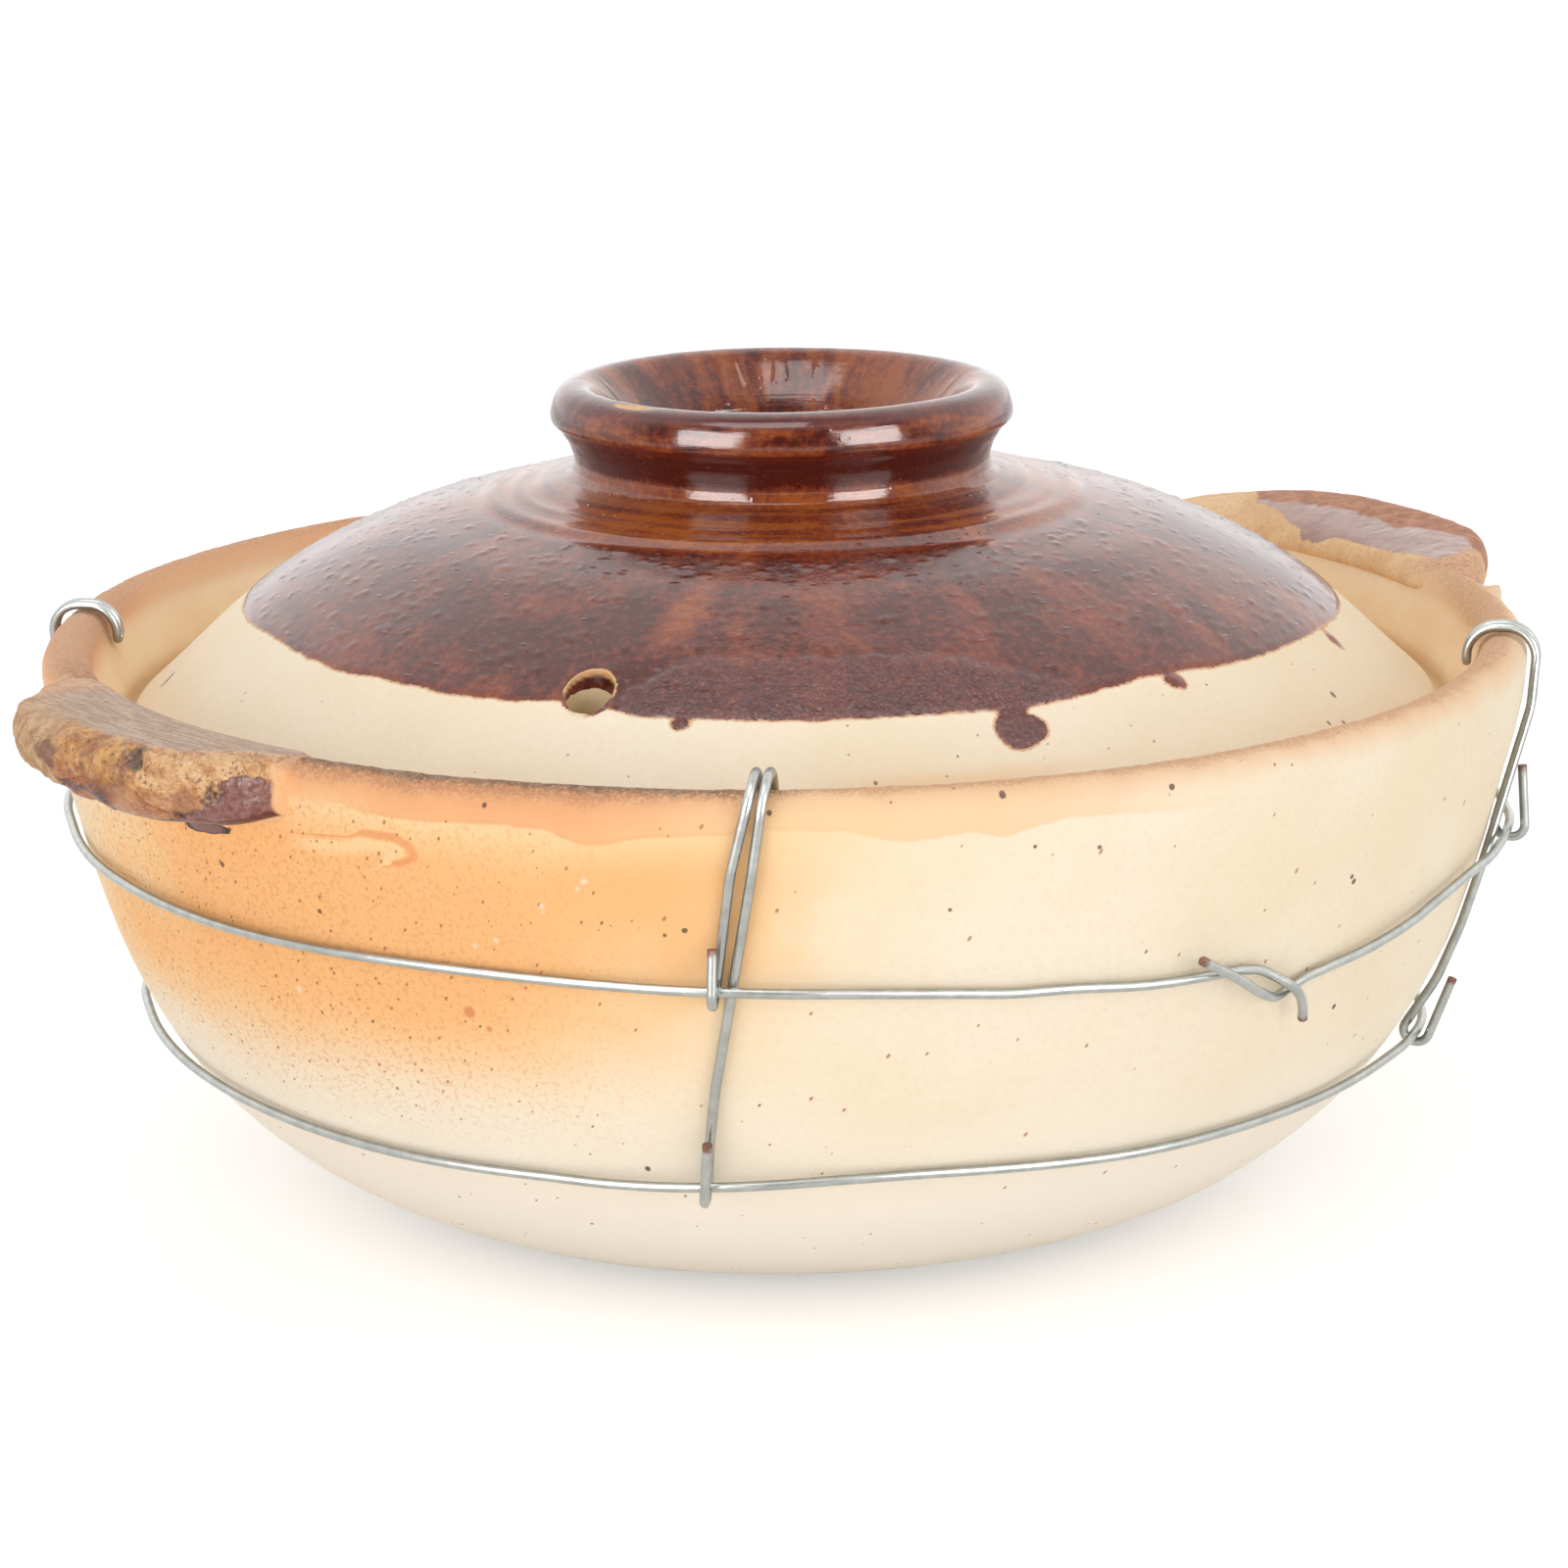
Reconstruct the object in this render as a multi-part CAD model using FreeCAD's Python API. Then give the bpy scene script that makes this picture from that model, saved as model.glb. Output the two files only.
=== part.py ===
import FreeCAD, Part
import math
import os

# Clay cooking pot: a thrown bowl with two lugs, a domed lid with a ring knob, and a wire cage.
# Millimetres, +Z up. The origin is the middle of the flat base, and -Y is the side seen in front.
V = FreeCAD.Vector
os.makedirs("parts", exist_ok=True)

# Bowl, outside: the wall's radius and height, as shares of the rim's radius and height
rim_radius = 130.0
rim_height = 100.0
lip_radius = 4.4
base_radius = 60.0
outer_wall = [(0.5923, 0.045), (0.7, 0.12), (0.78846, 0.22), (0.85769, 0.34), (0.90769, 0.47),
              (0.94308, 0.61), (0.97231, 0.76), (0.99385, 0.88)]

# Bowl, inside: floor, wall (as shares, like the outside), and the ledge that carries the lid
floor_thickness = 8.0
floor_radius = 52.0
inner_wall = [(0.57692, 0.125), (0.69231, 0.215), (0.78462, 0.34), (0.84615, 0.49), (0.88462, 0.64),
              (0.89231, 0.73)]
ledge_depth = 17.0
ledge_setback = 13.0
ledge_width = 6.4
ledge_nose = 1.6
flare_height = 4.0
ledge_height = rim_height - ledge_depth
ledge_outer_radius = rim_radius - ledge_setback
ledge_inner_radius = ledge_outer_radius - ledge_width

# Lid: it stands on the ledge with this much room round its edge. The dome's radii are shares of
# the lid's radius, and its heights, like those of the knob, are measured up from the ledge.
lid_clearance = 2.0
lid_edge_round = 1.6
lid_foot_width = 5.0
lid_edge_height = 2.2
lid_radius = ledge_outer_radius - lid_clearance
lid_foot_outer = lid_radius - lid_edge_round
lid_foot_inner = lid_foot_outer - lid_foot_width
dome_outside = [(0.9087, 13.0), (0.83043, 20.8), (0.72174, 28.5), (0.53043, 36.5)]
dome_rise = 46.4
dome_thickness = 7.9
dome_crown_radius = 13.0
dome_inside = [(0.86087, 9.0), (0.77391, 17.5), (0.66957, 24.0), (0.47826, 31.0), (0.26087, 36.5)]
knob_seat_outer = (37.8, 42.5)
knob_seat_inner = (25.0, 44.8)
steam_hole_diameter = 8.0
steam_hole_radius = 0.8 * lid_radius
steam_hole_azimuth = -109.5

# Knob ring: outside from the dome upward, then the crest and the hollow
knob_outside = [(37.9, 43.9), (37.3, 45.5), (36.3, 47.1), (37.2, 49.3), (39.1, 51.4)]
knob_band = [(40.3, 53.4), (40.4, 55.8), (38.8, 57.8), (35.7, 58.8)]
knob_inside = [(32.4, 57.7), (29.4, 53.3), (27.2, 48.5)]

# Lugs: middle azimuth, half of their span, reach beyond the rim, and how far the outer edge rises.
# The slices run from one end to the other, each with its share of the span and of the reach.
lug_thickness = 10.0
lug_root_drop = 6.0
near_lug = {
    "azimuth": 216.0, "half_span": 17.5, "reach": 15.0, "rise": 2.0,
    "slices": [(-1.0, 0.0), (-0.78, 0.29), (-0.55, 0.68), (-0.33, 0.9), (0.0, 0.99),
               (0.33, 0.99), (0.6, 0.92), (0.82, 0.62), (1.0, 0.0)],
}
far_lug = {
    "azimuth": 33.0, "half_span": 20.0, "reach": 15.5, "rise": 3.5,
    "slices": [(-1.0, 0.0), (-0.82, 0.3), (-0.62, 0.71), (-0.36, 0.92), (0.0, 0.97),
               (0.28, 0.98), (0.52, 0.8), (0.78, 0.44), (1.0, 0.0)],
}

# Wire cage
wire_diameter = 1.6
wire_gap = 0.12
hook_radius = 6.1
hook_drop = 4.1
loop_bend = 2.15
loop_tilt = 0.4
loop_drop = 1.9
knee_drop = 12.0
arch_rise = 1.1

# Stays: azimuth at the rim, then how far each leg has turned at the knee and further down.
# The short leg ends at the upper hoop and the long one at the lower hoop, each in a bent-up loop
# with its own tail length and width.
usual_legs = {"short": [-0.55, -2.3, -3.7], "long": [0.55, -0.9, -3.0, -4.0, -4.7, -5.3]}
stays = {
    "stay_front": {"azimuth": -91.5, "lift": 1.2, "turn": 0.6,
                   "tails": (9.8, 13.6), "widths": (5.0, 5.0), **usual_legs},
    "stay_right": {"azimuth": -10.8, "lift": 0.0, "turn": 0.1,
                   "tails": (13.2, 14.4), "widths": (5.9, 5.0),
                   "short": [0.55, -0.8, -2.6], "long": [-0.55, -2.2, -5.6, -6.0, -5.9, -5.6]},
    "stay_back": {"azimuth": 84.0, "lift": 0.3, "turn": 0.3,
                  "tails": (11.6, 13.0), "widths": (5.2, 5.0), **usual_legs},
    "stay_left": {"azimuth": 176.0, "lift": 0.0, "turn": 0.2,
                  "tails": (12.2, 12.6), "widths": (5.0, 5.3), **usual_legs},
}
long_leg_heights = [62.0, 51.0, 41.0]
long_leg_standoffs = [1.15, 1.2, 1.35]

# Hoops, hand bent: azimuth, height and distance from the wall to the middle of the wire.
# They lie close to the wall and stand off where they pass over the legs of a stay.
upper_joint = (-52.0, 61.0)
upper_stations = [(-37.0, 62.8, 2.2), (-28.0, 65.3, 1.7), (-20.0, 65.4, 2.75), (-13.4, 67.5, 3.4),
                  (-5.0, 67.4, 2.0), (5.0, 66.6, 1.2), (35.0, 66.6, 1.2), (65.0, 67.0, 1.2),
                  (77.5, 67.2, 2.7), (85.0, 67.3, 2.7), (96.0, 67.4, 1.2), (125.0, 68.0, 1.2),
                  (155.0, 68.6, 1.2), (168.0, 68.8, 2.7), (180.0, 69.0, 3.0), (191.0, 69.2, 1.4),
                  (205.0, 69.4, 1.6), (225.0, 69.1, 1.6), (243.0, 69.4, 1.2), (253.0, 69.2, 1.4),
                  (262.0, 69.0, 2.75), (269.0, 68.6, 2.75), (278.0, 67.5, 1.3), (288.0, 66.0, 1.3)]
lower_joint = (112.0, 32.6)
lower_stations = [(130.0, 33.0, 1.4), (150.0, 33.6, 1.4), (163.0, 34.0, 2.0), (169.0, 34.2, 2.75),
                  (184.0, 34.4, 3.0), (190.0, 34.3, 2.3), (197.0, 33.9, 2.0), (215.0, 32.8, 1.4),
                  (235.0, 31.9, 1.3), (250.0, 32.2, 1.5), (259.0, 32.5, 2.7), (268.0, 33.4, 2.7),
                  (277.0, 33.9, 1.4), (285.0, 33.6, 1.2), (300.0, 32.2, 1.2), (315.0, 31.9, 1.2),
                  (332.0, 31.4, 1.7), (340.0, 31.5, 2.8), (345.0, 31.7, 3.2), (356.0, 31.5, 1.8),
                  (368.0, 31.6, 1.2), (405.0, 32.2, 1.2), (428.0, 32.4, 1.4), (437.0, 32.4, 2.7),
                  (443.0, 32.4, 2.7), (452.0, 32.5, 1.5)]
hoop_step = 6.0

wire_radius = wire_diameter / 2
knee_height = rim_height - knee_drop


def wall_curve():
    points = [V(base_radius, 0, 0)]
    points += [V(wide * rim_radius, 0, high * rim_height) for wide, high in outer_wall]
    points.append(V(rim_radius, 0, rim_height - lip_radius))
    curve = Part.BSplineCurve()
    curve.interpolate(points)
    return curve


WALL = wall_curve()


def wall_radius(z):
    low, high = WALL.FirstParameter, WALL.LastParameter
    for _ in range(40):
        middle = (low + high) / 2
        if WALL.value(middle).z < z:
            low = middle
        else:
            high = middle
    return WALL.value(low).x


def scaled(profile, radius, height=1.0, foot=0.0):
    return [(r * radius, foot + z * height) for r, z in profile]


def spline(points):
    curve = Part.BSplineCurve()
    curve.interpolate([V(r, 0, z) for r, z in points])
    return curve.toShape()


def line(a, b):
    return Part.LineSegment(V(a[0], 0, a[1]), V(b[0], 0, b[1])).toShape()


def arc(a, b, c):
    return Part.Arc(V(a[0], 0, a[1]), V(b[0], 0, b[1]), V(c[0], 0, c[1])).toShape()


def revolved(edges):
    face = Part.Face(Part.Wire(Part.__sortEdges__(edges)))
    solid = face.revolve(V(0, 0, 0), V(0, 0, 1), 360)
    return solid if solid.isValid() else solid.removeSplitter()


def polar(radius, azimuth, z):
    angle = math.radians(azimuth)
    return V(radius * math.cos(angle), radius * math.sin(angle), z)


def make_bowl():
    lip_middle = rim_radius - lip_radius
    lip_base = rim_height - lip_radius
    flare_foot = (ledge_outer_radius, ledge_height + flare_height)
    outside = WALL.toShape()
    lip = arc((rim_radius, lip_base), (lip_middle, rim_height), (lip_middle - lip_radius, lip_base))
    flare = line((lip_middle - lip_radius, lip_base), flare_foot)
    seat_wall = line(flare_foot, (ledge_outer_radius, ledge_height))
    ledge = line((ledge_outer_radius, ledge_height), (ledge_inner_radius, ledge_height))
    nose_height = ledge_height - 2 * ledge_nose
    nose = arc((ledge_inner_radius, ledge_height),
               (ledge_inner_radius - ledge_nose, ledge_height - ledge_nose),
               (ledge_inner_radius, nose_height))
    wall = scaled(inner_wall, rim_radius, rim_height)
    underside = line((ledge_inner_radius, nose_height), wall[-1])
    inside = spline([(floor_radius, floor_thickness)] + wall)
    floor = line((floor_radius, floor_thickness), (0, floor_thickness))
    axis = line((0, floor_thickness), (0, 0))
    base = line((0, 0), (base_radius, 0))
    return revolved([outside, lip, flare, seat_wall, ledge, nose, underside, inside, floor, axis, base])


def make_lid():
    foot = line((lid_foot_inner, ledge_height), (lid_foot_outer, ledge_height))
    edge_top = (lid_radius - 1.0, ledge_height + 2 * lid_edge_height)
    edge = arc((lid_foot_outer, ledge_height), (lid_radius, ledge_height + lid_edge_height), edge_top)
    seat_outer, seat_inner = scaled([knob_seat_outer, knob_seat_inner], 1.0, 1.0, ledge_height)
    crown_height = ledge_height + dome_rise
    outside = spline([edge_top] + scaled(dome_outside, lid_radius, 1.0, ledge_height) + [seat_outer])
    seat = line(seat_outer, seat_inner)
    crown = spline([seat_inner, (dome_crown_radius, crown_height - 0.4), (0, crown_height)])
    axis = line((0, crown_height), (0, crown_height - dome_thickness))
    hollow = scaled(dome_inside, lid_radius, 1.0, ledge_height)[::-1]
    inside = spline([(0, crown_height - dome_thickness)] + hollow + [(lid_foot_inner, ledge_height)])
    dome = revolved([foot, edge, outside, seat, crown, axis, inside])
    drill_foot = polar(steam_hole_radius, steam_hole_azimuth, ledge_height)
    drill = Part.makeCylinder(steam_hole_diameter / 2, dome_rise, drill_foot)
    return dome.cut(drill)


def make_knob_ring():
    below = scaled([knob_seat_outer] + knob_outside, 1.0, 1.0, ledge_height)
    band = scaled([knob_outside[-1]] + knob_band, 1.0, 1.0, ledge_height)
    hollow = scaled([knob_band[-1]] + knob_inside + [knob_seat_inner], 1.0, 1.0, ledge_height)
    return revolved([spline(below), spline(band), spline(hollow), line(hollow[-1], below[0])])


def lug_section(lug, turn, share):
    # One upright slice of the lug; share is 1 where the lug reaches furthest and 0 at its ends.
    azimuth = lug["azimuth"] + turn * lug["half_span"]
    root = rim_radius - lip_radius - 1.0
    reach = rim_radius + lug["reach"] * share
    thick = lug_thickness * (0.62 + 0.38 * share)
    top = rim_height + lug["rise"] * share
    corners = [(root, rim_height - 0.3), (0.35 * root + 0.65 * reach, top), (reach - 2.2 * share, top - 0.7),
               (reach, top - 0.36 * thick), (reach - 0.6 * share, top - thick),
               (0.45 * root + 0.55 * reach, top - thick - 2.0), (root, rim_height - thick - lug_root_drop)]
    points = [polar(r, azimuth, z) for r, z in corners]
    curve = Part.BSplineCurve()
    curve.interpolate(points)
    closing = Part.LineSegment(points[-1], points[0])
    return Part.Wire([curve.toShape(), closing.toShape()])


def wall_normal(z):
    step = 0.2
    run = wall_radius(z + step) - wall_radius(z - step)
    length = math.hypot(run, 2 * step)
    return (2 * step / length, -run / length)


def off_wall(z, standoff):
    # Radius, at height z, of the line that runs the given distance outside the wall.
    height = z
    for _ in range(8):
        normal = wall_normal(height)
        height = z - standoff * normal[1]
    return wall_radius(height) + standoff * wall_normal(height)[0]


def arc_from(start, tangent, end):
    chord = end - start
    along = V(chord).normalize()
    side = tangent - along * tangent.dot(along)
    if side.Length < 1e-5:
        return Part.LineSegment(start, end).toShape()
    half_turn = math.acos(max(-1.0, min(1.0, tangent.dot(along))))
    middle = start + chord * 0.5 + side.normalize() * (chord.Length / 2 * math.tan(half_turn / 2))
    return Part.Arc(start, middle, end).toShape()


def biarc(start, start_tangent, end, end_tangent):
    # Two arcs that meet smoothly and follow both tangents.
    gap = end - start
    both = start_tangent + end_tangent
    bend = 2 * (1 - start_tangent.dot(end_tangent))
    if bend < 1e-9:
        reach = gap.dot(gap) / (2 * gap.dot(both))
    else:
        reach = (math.sqrt(gap.dot(both) ** 2 + bend * gap.dot(gap)) - gap.dot(both)) / bend
    leave = start + start_tangent * reach
    arrive = end - end_tangent * reach
    middle = (leave + arrive) * 0.5
    return [arc_from(start, start_tangent, middle), arc_from(middle, (arrive - leave).normalize(), end)]


def smooth_path(points):
    tangents = []
    for i in range(len(points)):
        before = points[max(i - 1, 0)]
        after = points[min(i + 1, len(points) - 1)]
        if 0 < i < len(points) - 1:
            one = points[i] - before
            two = after - points[i]
            tangents.append((one * (two.Length / one.Length) + two * (one.Length / two.Length)).normalize())
        else:
            tangents.append((after - before).normalize())
    edges = []
    for i in range(len(points) - 1):
        edges += biarc(points[i], tangents[i], points[i + 1], tangents[i + 1])
    return edges


def rounded_path(corners):
    # Straight runs joined by tangent arcs; each corner is a point and its bend radius.
    edges = []
    last = corners[0][0]
    for i in range(1, len(corners) - 1):
        point, radius = corners[i]
        back = (corners[i - 1][0] - point).normalize()
        ahead = (corners[i + 1][0] - point).normalize()
        angle = math.acos(max(-1.0, min(1.0, back.dot(ahead))))
        reach = radius / math.tan(angle / 2)
        start = point + back * reach
        end = point + ahead * reach
        middle_way = (back + ahead).normalize()
        centre_distance = radius / math.sin(angle / 2)
        middle = point + middle_way * (centre_distance - radius)
        if (start - last).Length > 1e-4:
            edges.append(Part.LineSegment(last, start).toShape())
        edges.append(Part.Arc(start, middle, end).toShape())
        last = end
    edges.append(Part.LineSegment(last, corners[-1][0]).toShape())
    return edges


def wire_solid(edges):
    path = Part.Wire(edges)
    start = edges[0].valueAt(edges[0].FirstParameter)
    tangent = edges[0].tangentAt(edges[0].FirstParameter)
    section = Part.Wire([Part.Circle(start, tangent, wire_radius).toShape()])
    solid = path.makePipeShell([section], True, False)
    expected = path.Length * math.pi * wire_radius ** 2
    print("wire length %.1f, volume %.1f of %.1f, least gap to itself %.2f" % (
        path.Length, solid.Volume, expected, self_gap(path)))
    return solid


def self_gap(path):
    # Least room between two stretches of the wire that lie more than five diameters apart along it.
    points = path.discretize(Distance=0.7)
    apart = int(5 * wire_diameter / 0.7)
    least = 1000.0
    for i in range(len(points)):
        for j in range(i + apart, len(points)):
            least = min(least, points[i].distanceToPoint(points[j]))
    return least - wire_diameter


def hoop_point(azimuth, z, standoff):
    return polar(off_wall(z, standoff), azimuth, z)


def joined_ends(azimuth, height):
    # The two ends of a hoop hook round each other: distance along the hoop, height, and standoff.
    ahead = [(-18.0, 7.4, 4.4), (-10.5, 2.9, 4.3), (-4.0, -1.2, 3.9), (0.0, -2.8, 2.7), (3.6, -2.6, 1.5),
             (7.8, -1.6, 1.1), (13.2, -0.8, 1.3), (20.6, 0.1, 1.8)]
    behind = [(-21.0, 3.4, 1.4), (-13.4, 3.2, 1.3), (-7.2, 3.0, 1.3), (-3.4, 2.2, 1.5), (-0.6, 0.7, 2.3),
              (2.0, -1.0, 3.2), (4.5, -3.2, 3.5), (6.2, -5.7, 3.4), (7.3, -8.2, 3.2)]
    radius = wall_radius(height)
    ends = []
    for part in (ahead, behind):
        row = []
        for along, rise, standoff in part:
            row.append(hoop_point(azimuth + math.degrees(along / radius), height + rise, standoff))
        ends.append(row)
    return ends


def eased(stations, azimuth):
    # Height and standoff of a hoop at any azimuth, flowing smoothly from station to station.
    slopes = [(0.0, 0.0)]
    for before, after in zip(stations, stations[2:]):
        span = after[0] - before[0]
        slopes.append(((after[1] - before[1]) / span, (after[2] - before[2]) / span))
    slopes.append((0.0, 0.0))
    turn = azimuth
    while turn < stations[0][0]:
        turn += 360.0
    index = 0
    while index < len(stations) - 2 and stations[index + 1][0] < turn:
        index += 1
    start, end = stations[index], stations[index + 1]
    span = end[0] - start[0]
    t = (turn - start[0]) / span
    values = []
    for k in (1, 2):
        bulge = slopes[index][k - 1] * span * (t - 2 * t ** 2 + t ** 3)
        bulge += slopes[index + 1][k - 1] * span * (t ** 3 - t ** 2)
        values.append(start[k] + (end[k] - start[k]) * (3 * t ** 2 - 2 * t ** 3) + bulge)
    return values


def make_hoop(stations, joint_azimuth, joint_height):
    first, last = joined_ends(joint_azimuth, joint_height)
    middle = []
    azimuth = stations[0][0]
    while azimuth < stations[-1][0]:
        height, standoff = eased(stations, azimuth)
        middle.append(hoop_point(azimuth, height, max(standoff, wire_radius + wire_gap)))
        azimuth += hoop_step
    middle.append(hoop_point(*stations[-1]))
    return wire_solid(smooth_path(first + middle + last))


def loop_corners(azimuth, height, turn, tail, width):
    # A wire end bent up round a hoop: inner bend, outer bend and the cut tip.
    leg_standoff = wire_radius + wire_gap
    normal = wall_normal(height)
    down = (normal[1], -normal[0])
    leg = (off_wall(height, leg_standoff), height)
    inner = (leg[0] + down[0] * loop_drop, leg[1] + down[1] * loop_drop)
    level = math.hypot(normal[0], loop_tilt * normal[1])
    outer = (inner[0] + normal[0] / level * width, inner[1] + loop_tilt * normal[1] / level * width)
    back = tail - loop_drop
    lean = wire_diameter + 2 * wire_gap
    tip = (leg[0] - down[0] * back + normal[0] * lean, leg[1] - down[1] * back + normal[1] * lean)
    return [(polar(inner[0], azimuth, inner[1]), loop_bend),
            (polar(outer[0], azimuth, outer[1]), loop_bend),
            (polar(tip[0], azimuth + turn, tip[1]), 0)]


def make_stay(stay):
    azimuth = stay["azimuth"]
    lip_middle = rim_radius - lip_radius
    outer = lip_middle + hook_radius
    inner = lip_middle - hook_radius
    bend = hook_radius - 0.9
    knee = off_wall(knee_height, wire_radius + 0.8)
    short, long = stay["short"], stay["long"]
    top = rim_height + arch_rise + stay["lift"]
    corners = []
    height = eased(upper_stations, azimuth + short[2])[0]
    corners += loop_corners(azimuth + short[2], height, 0.1, stay["tails"][0], stay["widths"][0])[::-1]
    corners.append((polar(knee, azimuth + short[1], knee_height), 14.0))
    corners.append((polar(outer, azimuth + short[0] * 1.4, top), bend))
    corners.append((polar(inner, azimuth + short[0], top), bend))
    hairpin = abs(long[0] - short[0]) * math.radians(inner) / 2 - 0.02
    foot = rim_height - hook_drop + stay["lift"] - hairpin
    corners.append((polar(inner, azimuth + short[0], foot), hairpin))
    corners.append((polar(inner, azimuth + long[0], foot), hairpin))
    corners.append((polar(inner, azimuth + long[0], top), bend))
    corners.append((polar(outer, azimuth + long[0] * 0.4 + long[1] * 0.2, top), bend))
    corners.append((polar(knee, azimuth + long[1], knee_height), 14.0))
    for turn, z, standoff in zip(long[2:5], long_leg_heights, long_leg_standoffs):
        corners.append((polar(off_wall(z, standoff), azimuth + turn, z), 28.0))
    height = eased(lower_stations, azimuth + long[5])[0]
    corners += loop_corners(azimuth + long[5], height, stay["turn"], stay["tails"][1], stay["widths"][1])
    return wire_solid(rounded_path(corners))


def make_lug(lug, bowl):
    sections = [lug_section(lug, turn, share) for turn, share in lug["slices"]]
    return Part.makeLoft(sections, True, False).cut(bowl).Solids[0]


bowl = make_bowl()
nodes = {
    "bowl": bowl,
    "lug_near": make_lug(near_lug, bowl),
    "lug_far": make_lug(far_lug, bowl),
    "lid": make_lid().Solids[0],
    "knob_ring": make_knob_ring(),
    "upper_hoop": make_hoop(upper_stations, *upper_joint),
    "lower_hoop": make_hoop(lower_stations, *lower_joint),
}
for stay_name, stay in stays.items():
    nodes[stay_name] = make_stay(stay)

for name, shape in nodes.items():
    box = shape.BoundBox
    print("%-11s valid %s closed %s solids %d volume %.0f box %.1f..%.1f %.1f..%.1f %.1f..%.1f" % (
        name, shape.isValid(), shape.isClosed(), len(shape.Solids), shape.Volume,
        box.XMin, box.XMax, box.YMin, box.YMax, box.ZMin, box.ZMax))
    shape.exportStep("parts/" + name + ".step")
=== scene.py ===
import math

import bpy
import numpy as np
from mathutils import Matrix, Vector


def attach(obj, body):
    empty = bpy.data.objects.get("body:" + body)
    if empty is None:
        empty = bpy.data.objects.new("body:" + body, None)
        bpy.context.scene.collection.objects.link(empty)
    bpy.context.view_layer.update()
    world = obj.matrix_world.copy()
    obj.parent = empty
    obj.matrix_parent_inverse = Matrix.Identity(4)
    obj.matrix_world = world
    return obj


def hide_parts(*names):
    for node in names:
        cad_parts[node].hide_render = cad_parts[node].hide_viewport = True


# A clay cooking pot in a wire cage. All sizes are millimetres until a mesh is made. "Azimuth" is
# measured round the upright axis in degrees: 0 is the side seen in front (-Y), 90 is +X.
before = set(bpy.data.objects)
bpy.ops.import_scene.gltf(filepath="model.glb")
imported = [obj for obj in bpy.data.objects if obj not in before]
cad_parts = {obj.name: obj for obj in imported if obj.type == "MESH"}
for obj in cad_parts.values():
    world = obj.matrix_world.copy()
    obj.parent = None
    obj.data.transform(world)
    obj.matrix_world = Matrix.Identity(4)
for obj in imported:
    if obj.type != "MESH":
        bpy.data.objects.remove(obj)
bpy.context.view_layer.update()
MM = 0.001


# noise and curves

# large odd numbers that spread the corners of a lattice over 31 bits
LATTICE_FACTORS, SEED_FACTOR = (73856093, 19349663, 83492791), 2654435761
FIRST_FACTOR, FIRST_STEP, LAST_FACTOR = 1103515245, 12345, 69069
LOW_BITS = 0x7FFFFFFF


def hashed(ix, iy, iz, seed):
    """A number from -1 to 1 for each corner of a lattice, the same on every run."""
    n = (seed * SEED_FACTOR) % LOW_BITS
    for place, factor in zip((ix, iy, iz), LATTICE_FACTORS):
        n = n ^ (place * factor)
    n = (n ^ (n >> 13)) & LOW_BITS
    n = (n * FIRST_FACTOR + FIRST_STEP) & LOW_BITS
    n = ((n ^ (n >> 15)) * LAST_FACTOR) & LOW_BITS
    return n / (LOW_BITS // 2) - 1.0


def noise(points, size, seed, octaves=1, gain=0.5):
    """Smooth lattice noise from -1 to 1 with features of about the given size."""
    points = np.asarray(points, float)
    total = np.zeros(points.shape[:-1])
    reach, norm = 1.0, 0.0
    for octave in range(octaves):
        q = points / size + 11.7 * (seed + octave)
        cell = np.floor(q).astype(np.int64)
        t = q - cell
        t = t * t * (3 - 2 * t)
        for corner in range(8):
            bits = (corner & 1, corner >> 1 & 1, corner >> 2 & 1)
            weight = np.ones(points.shape[:-1])
            for axis in range(3):
                weight = weight * (t[..., axis] if bits[axis] else 1 - t[..., axis])
            total += reach * weight * hashed(cell[..., 0] + bits[0], cell[..., 1] + bits[1],
                                             cell[..., 2] + bits[2], seed + 31 * octave)
        norm += reach
        reach *= gain
        size = size / 2.1
    return total / norm


def eased(value, low, high):
    t = np.clip((value - low) / (high - low), 0, 1)
    return t * t * (3 - 2 * t)


def hump(value, middle, width):
    return np.exp(-((value - middle) / width) ** 2)


def through(t, values, samples):
    """Cubic spline through the values, with end slopes from the first and last four of them."""
    t, values = np.asarray(t, float), np.asarray(values, float)
    n = len(t)
    k = min(4, n)
    slopes_matrix = np.zeros((n, n))
    wanted = np.zeros_like(values)
    slopes_matrix[0, 0] = slopes_matrix[-1, -1] = 1
    wanted[0] = np.polyfit(t[:k] - t[0], values[:k], k - 1)[-2]
    wanted[-1] = np.polyfit(t[-k:] - t[-1], values[-k:], k - 1)[-2]
    for i in range(1, n - 1):
        before, after = t[i] - t[i - 1], t[i + 1] - t[i]
        slopes_matrix[i, i - 1:i + 2] = after, 2 * (before + after), before
        wanted[i] = 3 * (after * (values[i] - values[i - 1]) / before
                         + before * (values[i + 1] - values[i]) / after)
    slopes = np.linalg.solve(slopes_matrix, wanted)
    samples = np.asarray(samples, float)
    index = np.clip(np.searchsorted(t, samples, side="right") - 1, 0, n - 2)
    span = t[index + 1] - t[index]
    u = (samples - t[index]) / span
    if values.ndim == 2:
        u, span = u[:, None], span[:, None]
    return (values[index] * (1 + 2 * u) * (1 - u) ** 2 + slopes[index] * span * u * (1 - u) ** 2
            + values[index + 1] * u * u * (3 - 2 * u) + slopes[index + 1] * span * u * u * (u - 1))


def lengths(profile):
    return np.r_[0, np.cumsum(np.hypot(*np.diff(profile, axis=0).T))]


def curve(points, spacing):
    points = np.array(points, float)
    t = lengths(points)
    return through(t, points, np.linspace(0, t[-1], max(2, math.ceil(t[-1] / spacing)) + 1))


def straight(start, end, spacing):
    start, end = np.array(start, float), np.array(end, float)
    count = max(1, math.ceil(np.hypot(*(end - start)) / spacing))
    return start + (end - start) * np.linspace(0, 1, count + 1)[:, None]


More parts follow.
